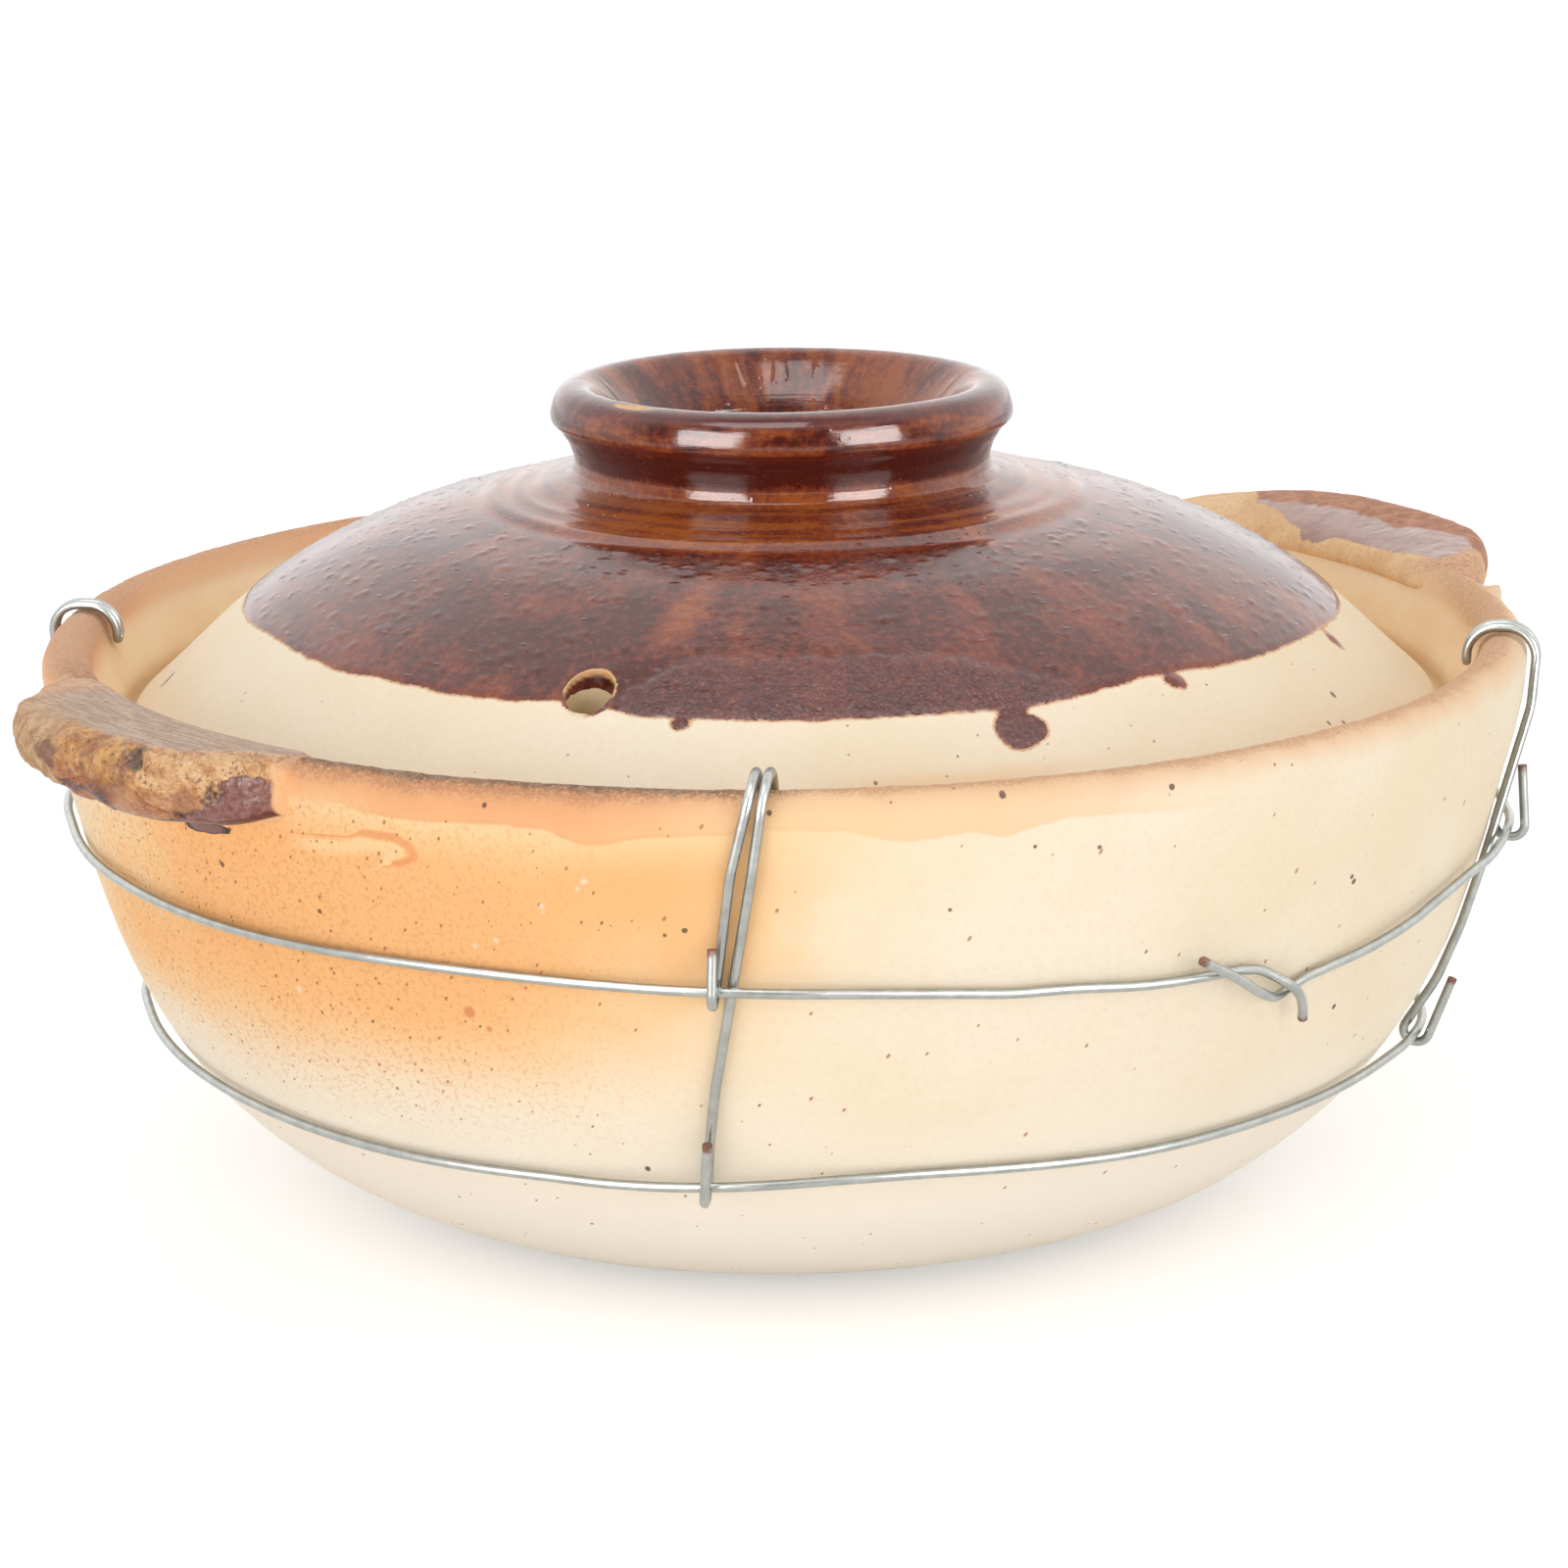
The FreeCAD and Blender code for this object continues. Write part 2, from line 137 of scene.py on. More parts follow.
def bend(centre, radius, start, end, spacing):
    count = max(2, math.ceil(abs(math.radians(end - start)) * radius / spacing))
    angles = np.radians(np.linspace(start, end, count + 1))
    return np.c_[centre[0] + radius * np.cos(angles), centre[1] + radius * np.sin(angles)]


def joined(*runs):
    return np.vstack([runs[0]] + [run[1:] for run in runs[1:]])


def softened(profile, passes, closed=False):
    """Rounds the corners of a profile a little, as fired clay has no sharp edge."""
    out = profile.copy()
    for _ in range(passes):
        if closed:
            out = (np.roll(out, 1, 0) + 2 * out + np.roll(out, -1, 0)) / 4
        else:
            out[1:-1] = (out[:-2] + 2 * out[1:-1] + out[2:]) / 4
    return out


# meshes

def make_object(name, vertices, quads, triangles=None):
    mesh = bpy.data.meshes.new(name)
    quads = np.asarray(quads).reshape(-1, 4)
    triangles = np.zeros((0, 3), int) if triangles is None else np.asarray(triangles).reshape(-1, 3)
    corners = np.concatenate([quads.ravel(), triangles.ravel()]).astype(np.int32)
    starts = np.concatenate([np.arange(len(quads)) * 4, len(quads) * 4 + np.arange(len(triangles)) * 3])
    mesh.vertices.add(len(vertices))
    mesh.vertices.foreach_set("co", (np.asarray(vertices) * MM).astype(np.float32).ravel())
    mesh.loops.add(len(corners))
    mesh.loops.foreach_set("vertex_index", corners)
    mesh.polygons.add(len(starts))
    mesh.polygons.foreach_set("loop_start", starts.astype(np.int32))
    mesh.update(calc_edges=True)
    mesh.validate()
    mesh.shade_smooth()
    made = bpy.data.objects.new(name, mesh)
    bpy.context.scene.collection.objects.link(made)
    return made


def positions(mesh):
    out = np.zeros(len(mesh.vertices) * 3, np.float32)
    mesh.vertices.foreach_get("co", out)
    return out.reshape(-1, 3).astype(float) / MM


def keep(mesh, name, values):
    layer = mesh.attributes.new(name, "FLOAT", "POINT")
    layer.data.foreach_set("value", np.asarray(values, np.float32).ravel())


def azimuths(columns):
    return np.linspace(-180, 180, columns, endpoint=False)


def profile_normals(profile, closed=False):
    if closed:
        along = np.roll(profile, -1, 0) - np.roll(profile, 1, 0)
    else:
        along = np.gradient(profile, axis=0)
    along = along / np.maximum(np.hypot(*along.T), 1e-9)[:, None]
    return np.c_[along[:, 1], -along[:, 0]]


def swept(profile, columns):
    """Points, or directions, of a surface of revolution, one row for each profile point."""
    a = np.radians(azimuths(columns))
    r, z = profile[:, 0:1], profile[:, 1:2]
    return np.stack([r * np.sin(a), -r * np.cos(a), z + 0 * a], axis=-1)


def swept_grid(profile, columns, closed=False):
    """The points, normals and azimuths of a profile that is turned round the axis."""
    points = swept(profile, columns)
    azimuth = azimuths(columns)[None, :] + 0 * points[..., 0]
    return points, swept(profile_normals(profile, closed), columns), azimuth


def ringed(along, reach, azimuth):
    """Where to read noise that makes marks of a turning tool: long round the axis, short along it."""
    a = np.radians(azimuth)
    return np.stack([along, reach * np.sin(a), reach * np.cos(a)], axis=-1)


def grid_quads(rows, columns, wrap_rows=False, wrap_columns=True):
    i = np.arange(rows if wrap_rows else rows - 1)[:, None]
    j = np.arange(columns if wrap_columns else columns - 1)[None, :]
    up, across = (i + 1) % rows, (j + 1) % columns
    return np.stack([i * columns + j, i * columns + across, up * columns + across, up * columns + j],
                    axis=-1).reshape(-1, 4)


def capped_rows(name, rows, first_end, last_end, flip=False):
    """A mesh of closed rows of points, with a fan of triangles to a point over each end."""
    count, columns = rows.shape[:2]
    first = count * columns
    j = np.arange(columns)
    across = (j + 1) % columns
    top = (count - 1) * columns
    fans = np.concatenate([np.c_[np.full(columns, first), across, j],
                           np.c_[top + j, top + across, np.full(columns, first + 1)]])
    quads = grid_quads(count, columns)
    if flip:
        quads, fans = quads[:, ::-1], fans[:, ::-1]
    return make_object(name, np.vstack([rows.reshape(-1, 3), first_end, last_end]), quads, fans)


def turned_piece(name, points):
    """A closed turned form: the first and the last row are the two poles on the axis."""
    return capped_rows(name, points[1:-1], points[0].mean(0), points[-1].mean(0))


# materials

def linear(colour):
    """A colour as seen on a screen, from 0 to 255, turned into the linear colour that shaders use."""
    if isinstance(colour, bpy.types.NodeSocket):
        return colour
    shares = [value / 255 for value in colour]
    return (*(c / 12.92 if c <= 0.04045 else ((c + 0.055) / 1.055) ** 2.4 for c in shares), 1.0)


class Nodes:
    """Short calls that add nodes to a tree and give back their outputs."""

    def __init__(self, tree):
        self.tree = tree
        tree.nodes.clear()

    def add(self, kind, inputs=None, **settings):
        node = self.tree.nodes.new(kind)
        for key, value in settings.items():
            setattr(node, key, value)
        for key, value in (inputs or {}).items():
            if isinstance(value, bpy.types.NodeSocket):
                self.tree.links.new(value, node.inputs[key])
            else:
                node.inputs[key].default_value = value
        return node

    def math(self, operation, a, b=0.0, clamp=False):
        return self.add("ShaderNodeMath", {0: a, 1: b}, operation=operation, use_clamp=clamp).outputs[0]

    def fit(self, value, slope, start):
        node = self.add("ShaderNodeMath", {0: value, 1: slope, 2: start}, operation="MULTIPLY_ADD")
        return node.outputs[0]

    def inverse(self, value):
        return self.fit(value, -1.0, 1.0)

    def product(self, *values):
        out = values[0]
        for value in values[1:]:
            out = self.math("MULTIPLY", out, value)
        return out

    def total(self, *values):
        out = values[0]
        for value in values[1:]:
            out = self.math("ADD", out, value)
        return out

    def distance(self, *values):
        """The square root of the sum of the squares."""
        return self.math("SQRT", self.total(*(self.product(value, value) for value in values)))

    def rise(self, value, low, high, start=0.0, end=1.0):
        """Eases from start to end while the value goes from low to high."""
        if high < low:
            low, high, start, end = high, low, end, start
        return self.add("ShaderNodeMapRange", {"Value": value, "From Min": low, "From Max": high,
                                               "To Min": start, "To Max": end},
                        interpolation_type="SMOOTHSTEP").outputs[0]

    def window(self, value, low, start, end, high):
        """0 outside low..high, 1 from start to end."""
        return self.product(self.rise(value, low, start), self.rise(value, high, end))


class Paint(Nodes):
    """A material built from nodes in object space, with coordinates in millimetres."""

    def __init__(self, name):
        self.material = bpy.data.materials.new(name)
        self.material.use_nodes = True
        super().__init__(self.material.node_tree)
        place = self.add("ShaderNodeTexCoord").outputs["Object"]
        self.mm = self.scaled(place, (1000, 1000, 1000))
        self.x, self.y, self.z = self.add("ShaderNodeSeparateXYZ", {0: self.mm}).outputs
        self.radius = self.distance(self.x, self.y)
        turn = self.math("ARCTAN2", self.x, self.product(self.y, -1.0))
        self.azimuth = self.product(turn, 180 / math.pi)
        self.sine = self.math("DIVIDE", self.x, self.radius)
        self.cosine = self.math("DIVIDE", self.y, self.radius)

    def plane(self, across, along, depth=0.0):
        return self.add("ShaderNodeCombineXYZ", {0: across, 1: along, 2: depth}).outputs[0]

    def wrapped(self, per_degree, along):
        """A vector for noise that runs round the axis without a seam."""
        reach = math.degrees(per_degree)
        return self.plane(self.fit(self.sine, reach, 0.0), along, self.fit(self.cosine, reach, 0.0))

    def scaled(self, vector, factors):
        return self.add("ShaderNodeVectorMath", {0: vector, 1: factors}, operation="MULTIPLY").outputs[0]

    def away_from(self, place, vector=None):
        points = {0: vector or self.mm, 1: place}
        return self.add("ShaderNodeVectorMath", points, operation="DISTANCE").outputs["Value"]

    def mix(self, factor, a, b):
        """From colour a to colour b. A colour is a socket or a screen colour from 0 to 255."""
        return self.add("ShaderNodeMix", {0: factor, 6: linear(a), 7: linear(b)}, data_type="RGBA").outputs[2]

    def coats(self, colour, *layers):
        """Lays colours over a colour in turn. A layer is a colour and the factors of its mask."""
        for new, *factors in layers:
            colour = self.mix(self.product(*factors), colour, new)
        return colour

    def mottled(self, value, low, high, first, second, *layers):
        """From the first colour to the second while the value goes from low to high, then layers."""
        return self.coats(self.mix(self.rise(value, low, high), first, second), *layers)

    def noise(self, size, detail=2.0, roughness=0.5, distortion=0.0, vector=None):
        return self.add("ShaderNodeTexNoise", {"Vector": vector or self.mm, "Scale": 1 / size,
                                               "Detail": detail, "Roughness": roughness,
                                               "Distortion": distortion}).outputs["Fac"]

    def cells(self, size, vector=None):
        """Distance to the middle of the nearest cell, and that cell's random numbers."""
        node = self.add("ShaderNodeTexVoronoi", {"Vector": vector or self.mm, "Scale": 1 / size})
        random = self.add("ShaderNodeSeparateColor", {0: node.outputs["Color"]}).outputs
        return node.outputs["Distance"], random

    def specks(self, size, share, small=0.10, large=0.30, vector=None):
        """Round specks in cells of the given size; share is the part of the cells that has one."""
        distance, random = self.cells(size, vector)
        edge = self.math("SUBTRACT", self.fit(random[1], large - small, small), distance)
        return self.product(self.rise(edge, 0.0, 0.07), self.math("LESS_THAN", random[0], share))

    def pimples(self, size, share, reach, vector=None):
        """Rounded dots, for relief."""
        distance, random = self.cells(size, vector)
        return self.product(self.rise(distance, reach, 0.0), self.math("LESS_THAN", random[0], share))

    def attributes(self, *names):
        return [self.add("ShaderNodeAttribute", attribute_name=name).outputs["Fac"] for name in names]

    def finish(self, colour, roughness, relief, metallic=0.0):
        """The shader. The relief is a height in millimetres."""
        bump = self.add("ShaderNodeBump", {"Height": relief, "Distance": MM, "Strength": 1.0})
        shader = self.add("ShaderNodeBsdfPrincipled", {"Base Color": colour, "Roughness": roughness,
                                                       "Normal": bump.outputs[0], "Metallic": metallic})
        self.add("ShaderNodeOutputMaterial", {0: shader.outputs[0]})
        return self.material


CREAM, PALE, BUFF = (247, 228, 197), (250, 234, 209), (232, 206, 166)
PEACH, ORANGE = (254, 214, 156), (252, 184, 112)
WASH, WASH_LEFT = (249, 204, 150), (248, 180, 120)
TOAST, ASH = (212, 152, 106), (150, 122, 98)
BROWN_SPECK, RUST_SPECK = (104, 64, 40), (174, 104, 58)
GLAZE_DARK, GLAZE_MID, GLAZE_AMBER, GLAZE_EDGE = (80, 28, 20), (124, 54, 32), (164, 86, 36), (214, 158, 106)


def clay_relief(p, grain=0.03):
    """Fine sandy grain and faint turning lines, in millimetres."""
    lines = p.noise(1.0, 2.0, 0.5, vector=p.scaled(p.mm, (0.04, 0.04, 0.8)))
    return p.total(p.product(p.noise(0.45, 3.0, 0.6), grain), p.product(p.noise(2.4, 2.0, 0.5), 0.05),
                   p.product(lines, 0.04))


def clay_paint(p):
    """Cream clay with faint clouds and sandy grain."""
    sandy = p.rise(p.noise(1.1, 3.0, 0.65), 0.38, 0.8, 0.0, 0.22)
    return p.mottled(p.noise(34.0, 3.0, 0.5), 0.35, 0.68, PALE, CREAM, (BUFF, sandy))


def clay_specks(p, density):
    """Pits left by the throwing: many fine ones, some dark, a few large. Gives the two masks."""
    slanted = p.plane(p.math("SUBTRACT", p.x, p.product(p.z, 0.4)), p.y, p.product(p.z, 0.62))
    fine, dark, large = (p.specks(size, p.product(density, share), small, big, slanted)
                         for size, share, small, big in ((1.5, 0.85, 0.08, 0.24), (3.0, 0.65, 0.05, 0.13),
                                                         (9.0, 0.24, 0.025, 0.045)))
    return fine, p.math("MAXIMUM", dark, large)


def marked(p, scale, level, marks, softness=0.12):
    """Single marks on the unrolled surface, each given by its azimuth, level and radius."""
    surface = p.plane(p.product(p.azimuth, scale), level)
    ragged = p.product(p.noise(0.7, 2.0, 0.6), 0.5)
    out = None
    for azimuth, height, radius in marks:
        gap = p.total(p.away_from((azimuth * scale, height, 0), surface), p.product(ragged, radius))
        mask = p.rise(gap, radius * 1.25 + softness, radius * 1.25 - softness)
        out = mask if out is None else p.math("MAXIMUM", out, mask)
    return out


def glaze_colour(p, thin, flow=None):
    """Red-brown glaze with dark pools, amber runs and a fine mottle. thin is 1 where it is thin."""
    warm = p.total(p.rise(p.noise(17.0, 3.0, 0.6, 0.5), 0.42, 0.68, 0.0, 0.32),
                   p.rise(p.noise(1.4, 4.0, 0.75), 0.40, 0.70, -0.06, 0.34), thin)
    if flow is not None:
        warm = p.total(warm, p.rise(p.noise(1.0, 3.0, 0.6, vector=flow), 0.48, 0.70, 0.0, 0.30))
    return p.mottled(warm, 0.0, 0.42, GLAZE_DARK, GLAZE_MID,
                     (GLAZE_AMBER, p.rise(warm, 0.32, 0.95)),
                     (GLAZE_AMBER, p.rise(p.noise(0.5, 2.0, 0.6), 0.60, 0.75, 0.0, 0.35)),
                     (GLAZE_DARK, p.rise(p.noise(0.9, 3.0, 0.7), 0.58, 0.72, 0.0, 0.55)))


def glaze_relief(p, pimples=0.10):
    """Faint orange peel and short raised pimples of a thick glaze, in millimetres."""
    unrolled = p.plane(p.product(p.azimuth, 0.62), p.product(p.radius, 1.25), p.z)
    return p.total(p.product(p.noise(2.6, 2.0, 0.5), 0.022), p.product(p.noise(0.8, 2.0, 0.5), 0.008),
                   p.product(p.pimples(1.7, 0.20, 0.30, unrolled), pimples),
                   p.product(p.pimples(4.0, 0.22, 0.16, unrolled), 1.6 * pimples))


# bowl

BOWL_COLUMNS = 760
RIM, RIM_TOP, LIP = 130.0, 100.0, 4.4
LIP_MIDDLE = (RIM - LIP, RIM_TOP - LIP)
LEDGE = 83.0
BOWL_OUTSIDE = [(60, 0), (77, 4.5), (91, 12), (102.5, 22), (111.5, 34), (118, 47), (122.6, 61),
                (126.4, 76), (129.2, 88), (130, 95.6)]
BOWL_INSIDE = [(116, 73), (115, 64), (110, 49), (102, 34), (90, 21.5), (75, 12.5), (52, 8)]
# the lower edge of the wash under the rim, as azimuth and height
BAND_EDGE = [(-180, 93.7), (-60, 94.6), (-45, 94.2), (-36.1, 93.9), (-32, 94.8), (-29.9, 93.7),
             (-24.7, 93.5), (-20.1, 94.3), (-16, 93.8), (-15, 92.7), (-13.4, 91.8), (-11.6, 92.3),
             (-9.5, 93.4), (-5.2, 93.8), (-0.9, 94.8), (4, 94.2), (6.5, 92.7), (8.2, 92.3), (10.1, 92.7),
             (12.2, 93.2), (14.4, 91.9), (15.8, 92.9), (19.2, 94.3), (26.3, 93.4), (32, 92.8), (180, 93.7)]
# a smear of clay beside the near lug, as azimuth and height
SMEAR = [(-40, 87.3), (-35.6, 88.5), (-31.5, 89.2), (-30.3, 90.1), (-29.1, 90.0), (-27.6, 90.0),
         (-26.7, 89.0), (-26.2, 87.6), (-27.7, 86.2)]
# azimuth, height and radius of single dark marks, of pale scuffs and of an orange blob
BOWL_MARKS = [(-44.7, 79.8, 0.5), (26.8, 97.1, 0.5), (14.5, 98.5, 0.5), (21.4, 89, 0.35), (16.7, 90.2, 0.3),
              (-7.1, 78.3, 0.45), (-8.5, 77.4, 0.3), (-1.2, 97.4, 0.4), (47.8, 50.8, 0.5), (45.7, 74.0, 0.5),
              (45.3, 75.0, 0.4), (-35.4, 75.4, 0.4), (11, 80.8, 0.3), (-11.6, 34.8, 0.5), (-20.6, 97, 0.4)]
BOWL_SCUFFS = [(-13.8, 85.9, 0.5), (-14.3, 84.6, 0.3), (-17, 81.3, 0.4), (-17, 80.2, 0.2), (-20.8, 74.7, 0.4),
               (-22.5, 73.4, 0.3), (-39.4, 60.2, 0.6)]
ORANGE_BLOB = [(-23.8, 61.6, 1.0), (-22.4, 59.0, 0.5)]
BOWL_SCALE = math.radians(1) * 126
# a run of glaze under the near lug: azimuth and height of its middle, half width, half height
RUN_UNDER_LUG = (-45.4, 85.8, 6.0, 0.9)
# a burr of clay on the edge of the rim, beside the far lug: azimuth, place below the lip, size
BURR_AZIMUTH, BURR_LEVEL, BURR_SIZE = 97.0, -3.6, 2.0


def distance_to_line(azimuth, height, line, radius=128.0):
    """Distance along the wall to a line of (azimuth, height) points, and which side of it."""
    x, y = np.radians(azimuth) * radius, height
    best = np.full(np.shape(x), 1e9)
    side = np.zeros(np.shape(x))
    for (a0, z0), (a1, z1) in zip(line, line[1:]):
        x0, x1 = math.radians(a0) * radius, math.radians(a1) * radius
        dx, dy = x1 - x0, z1 - z0
        t = np.clip(((x - x0) * dx + (y - z0) * dy) / (dx * dx + dy * dy), 0, 1)
        gap = np.hypot(x - x0 - t * dx, y - z0 - t * dy)
        nearer = gap < best
        best = np.where(nearer, gap, best)
        side = np.where(nearer, np.sign(dx * (y - z0) - dy * (x - x0)), side)
    return best, side


def bowl_profile():
    """From the middle of the base, up the outside, over the rim, the ledge and down the inside."""
    return softened(joined(
        straight((0, 0), (60, 0), 4.0), curve(BOWL_OUTSIDE, 1.0), bend(LIP_MIDDLE, LIP, 0, 180, 0.5),
        straight((121.2, 95.6), (117, 87), 0.8), straight((117, 87), (117, LEDGE), 0.8),
        straight((117, LEDGE), (110.6, LEDGE), 0.8), bend((110.6, LEDGE - 1.6), 1.6, 90, 270, 0.6),
        straight((110.6, LEDGE - 3.2), (116, 73), 0.9), curve(BOWL_INSIDE, 1.3),
        straight((52, 8), (0, 8), 4.0)), 2)


def make_bowl():
    profile = bowl_profile()
    points, normals, azimuth = swept_grid(profile, BOWL_COLUMNS)
    along = lengths(profile)
    # distance from the crest of the rim, less than 0 outside
    lip = (along - along[np.argmax(profile[:, 1])])[:, None] + 0 * azimuth
    height = points[..., 2]
    outside = (lip < 0) & (height > 0.5)
    turned = ringed(lip, 34, azimuth)
    shift = (0.11 * noise(turned, 7.0, 3) + 0.05 * noise(turned, 3.1, 4) + 0.16 * noise(points, 38.0, 5)
             + 0.05 * noise(points, 6.0, 6, 2) - 0.16)
    shift += 0.20 * noise(points, 1.4, 7, 2) * np.exp(-((lip + 1.0) / 5.0) ** 2)
    # turning rings on the inside wall
    shift += 0.10 * np.sin(lip / 4.4 + 0.9 * np.sin(np.radians(azimuth) * 2)) * (lip > 44)
    shift = np.minimum(shift, 0.02)
    near, side = distance_to_line(azimuth, height, SMEAR)
    beside_lug = eased(azimuth, -38, -34) * eased(azimuth, -25.6, -26.2) * outside
    fade = beside_lug * (near < 4)
    shift = shift + (0.30 * hump(near * side, -0.5, 0.8) - 0.26 * hump(near * side, 0.7, 0.6)) * fade
    edge = np.interp(azimuth, *zip(*BAND_EDGE)) + 0.25 * noise(points, 3.0, 9, 2)
    band = np.where(outside, height - edge, -20.0)
    shift += 0.07 * eased(band, -0.1, 0.5) * (height < 97) * outside
    run = glaze_run(azimuth, height)
    shift += np.where(outside, 0.22 * eased(run, 0, 0.5), 0)
    ledge = (np.abs(height - LEDGE) < 0.6) & (lip > 0)
    shift = np.where((height < 0.3) | ledge, np.minimum(shift, 0) * 0.4, shift)
    shift = np.where(height > 99, np.minimum(shift, 0), shift)
    shift += BURR_SIZE * hump(azimuth, BURR_AZIMUTH, 1.6) * hump(lip, BURR_LEVEL, 0.75)
    bowl = turned_piece("bowl_fired_clay", points + shift[..., None] * normals)
    masks = {"lip": lip, "band": np.maximum(band, -20), "smear": np.where(near < 6, near * side, 20),
             "beside_lug": beside_lug, "run": np.where(outside, run, -5)}
    for name, field in masks.items():
        keep(bowl.data, name, np.r_[field[1:-1].ravel(), field[0, 0], field[-1, 0]])
    return bowl


def glaze_run(azimuth, height):
    """Distance inside the ragged run of glaze on the wall under the near lug."""
    middle, level, half_width, half_height = RUN_UNDER_LUG
    across = (azimuth - middle) * BOWL_SCALE
    down = height - level - 0.10 * across
    ragged = 0.35 * np.sin(across * 1.7) + 0.2 * np.sin(across * 4.1 + 1)
    return (1 - np.hypot(across / half_width, (down + 0.4 * ragged) / half_height)) * half_height


def flame_flash_and_painted_light(p, outside):
    """The flash of the flame: peach over the left of the front, orange in its middle, full of pits; under it
    a near-white layer towards the bottom of the bowl, partly a paler clay and partly painted light on the
    lower wall.
    """
    wobble = p.fit(p.noise(26.0, 3.0, 0.55), 22.0, -11.0)
    height = p.total(p.z, p.product(wobble, 0.45))
    slanted = p.total(p.azimuth, wobble, p.fit(p.z, -0.45, 0.45 * 62))
    deep = p.product(p.window(slanted, -72.0, -52.0, -24.0, -2.0), p.window(height, 43.0, 64.0, 85.0, 98.0))
    warm = p.product(p.window(slanted, -86.0, -60.0, -18.0, 8.0), p.window(height, 38.0, 62.0, 112.0, 130.0))
    dense = p.product(p.window(p.azimuth, -92.0, -68.0, -34.0, 0.0), p.window(p.z, 30.0, 52.0, 92.0, 99.0))
    stipple = p.rise(p.noise(0.8, 2.0, 0.6), 0.50, 0.66)
    # the first layer is painted light: near-white towards the bottom of the bowl, where the clay is also
    # paler and less yellow
    return dense, [((255, 245, 230), p.rise(p.z, 52.0, 18.0, 0.0, 0.9)),
                   (PEACH, warm, outside, 0.88),
                   (ORANGE, deep, outside, 0.90),
                   ((222, 146, 84), stipple, dense, outside, 0.45)]


def rim_wash(p, band, smear, beside_lug, left, outside):
    """The wash under the rim with its darker edge, and the smear: painted orange shade in its groove and
    painted light on its pale ridge.
    """
    strength = p.product(p.window(p.azimuth, -78.0, -50.0, 14.0, 36.0), outside)
    beside = p.window(p.azimuth, -44.0, -37.0, -36.0, -27.0)
    strong = p.product(strength, p.fit(left, 0.2, 0.7), p.fit(beside, -0.95, 1.0))
    narrowed = p.math("DIVIDE", smear, p.rise(p.azimuth, -31.5, -29.5, 0.25, 1.0))
    return [(p.mix(left, WASH, WASH_LEFT), p.rise(band, -0.1, 0.4), strong),
            ((232, 160, 100), p.window(band, -0.25, 0.0, 0.15, 0.9), strong, p.fit(left, 0.30, 0.10)),
            # painted shade: orange in the groove of the smear
            ((238, 150, 84), p.window(narrowed, -0.45, 0.0, 0.6, 1.3), beside_lug, 0.75),
            # painted light: pale on the ridge of the smear
            ((255, 226, 174), p.window(smear, -4.0, -1.6, -0.8, -0.3), beside_lug, 0.45)]


def toasted_rim(p, lip, left, grain, coarse):
    """Warm under the lip, a sandy crust over it, sooty over the left of the front."""
    cloud = p.fit(p.noise(9.0, 3.0, 0.6), 4.0, -2.0)
    down = p.total(lip, cloud, p.fit(left, 2.4, -1.0))
    # less of it inside the rim at the back
    inward = p.total(lip, p.rise(p.y, -5.0, 45.0, 0.0, 5.0))
    toasted = p.product(p.rise(down, -8.5, -3.0), p.rise(inward, 16.0, 7.0))
    crust = p.product(p.rise(down, -4.6, -1.2), p.rise(inward, 11.0, 4.0))
    gritty = p.product(crust, p.rise(p.total(grain, p.product(crust, 0.16)), 0.48, 0.70))
    ashy = p.product(p.window(p.azimuth, -84.0, -60.0, -8.0, 8.0), p.rise(p.total(lip, cloud), -3.2, -0.6))
    far_left = p.product(p.rise(p.azimuth, -62.0, -84.0), p.rise(p.azimuth, -150.0, -120.0), crust)
    sooty = p.rise(p.total(grain, p.product(ashy, 0.20)), 0.52, 0.68)
    return crust, ashy, [(p.mix(left, (240, 196, 150), (236, 164, 106)), toasted, 0.80),
                         (TOAST, crust, p.fit(left, 0.12, 0.28)),
                         ((238, 196, 150), crust, p.rise(coarse, 0.50, 0.66), 0.40),
                         ((178, 116, 74), gritty, p.fit(left, 0.13, 0.42)),
                         ((224, 184, 152), far_left, 0.45),
                         (p.mottled(coarse, 0.4, 0.6, (112, 82, 60), ASH), sooty, ashy, 0.85)]


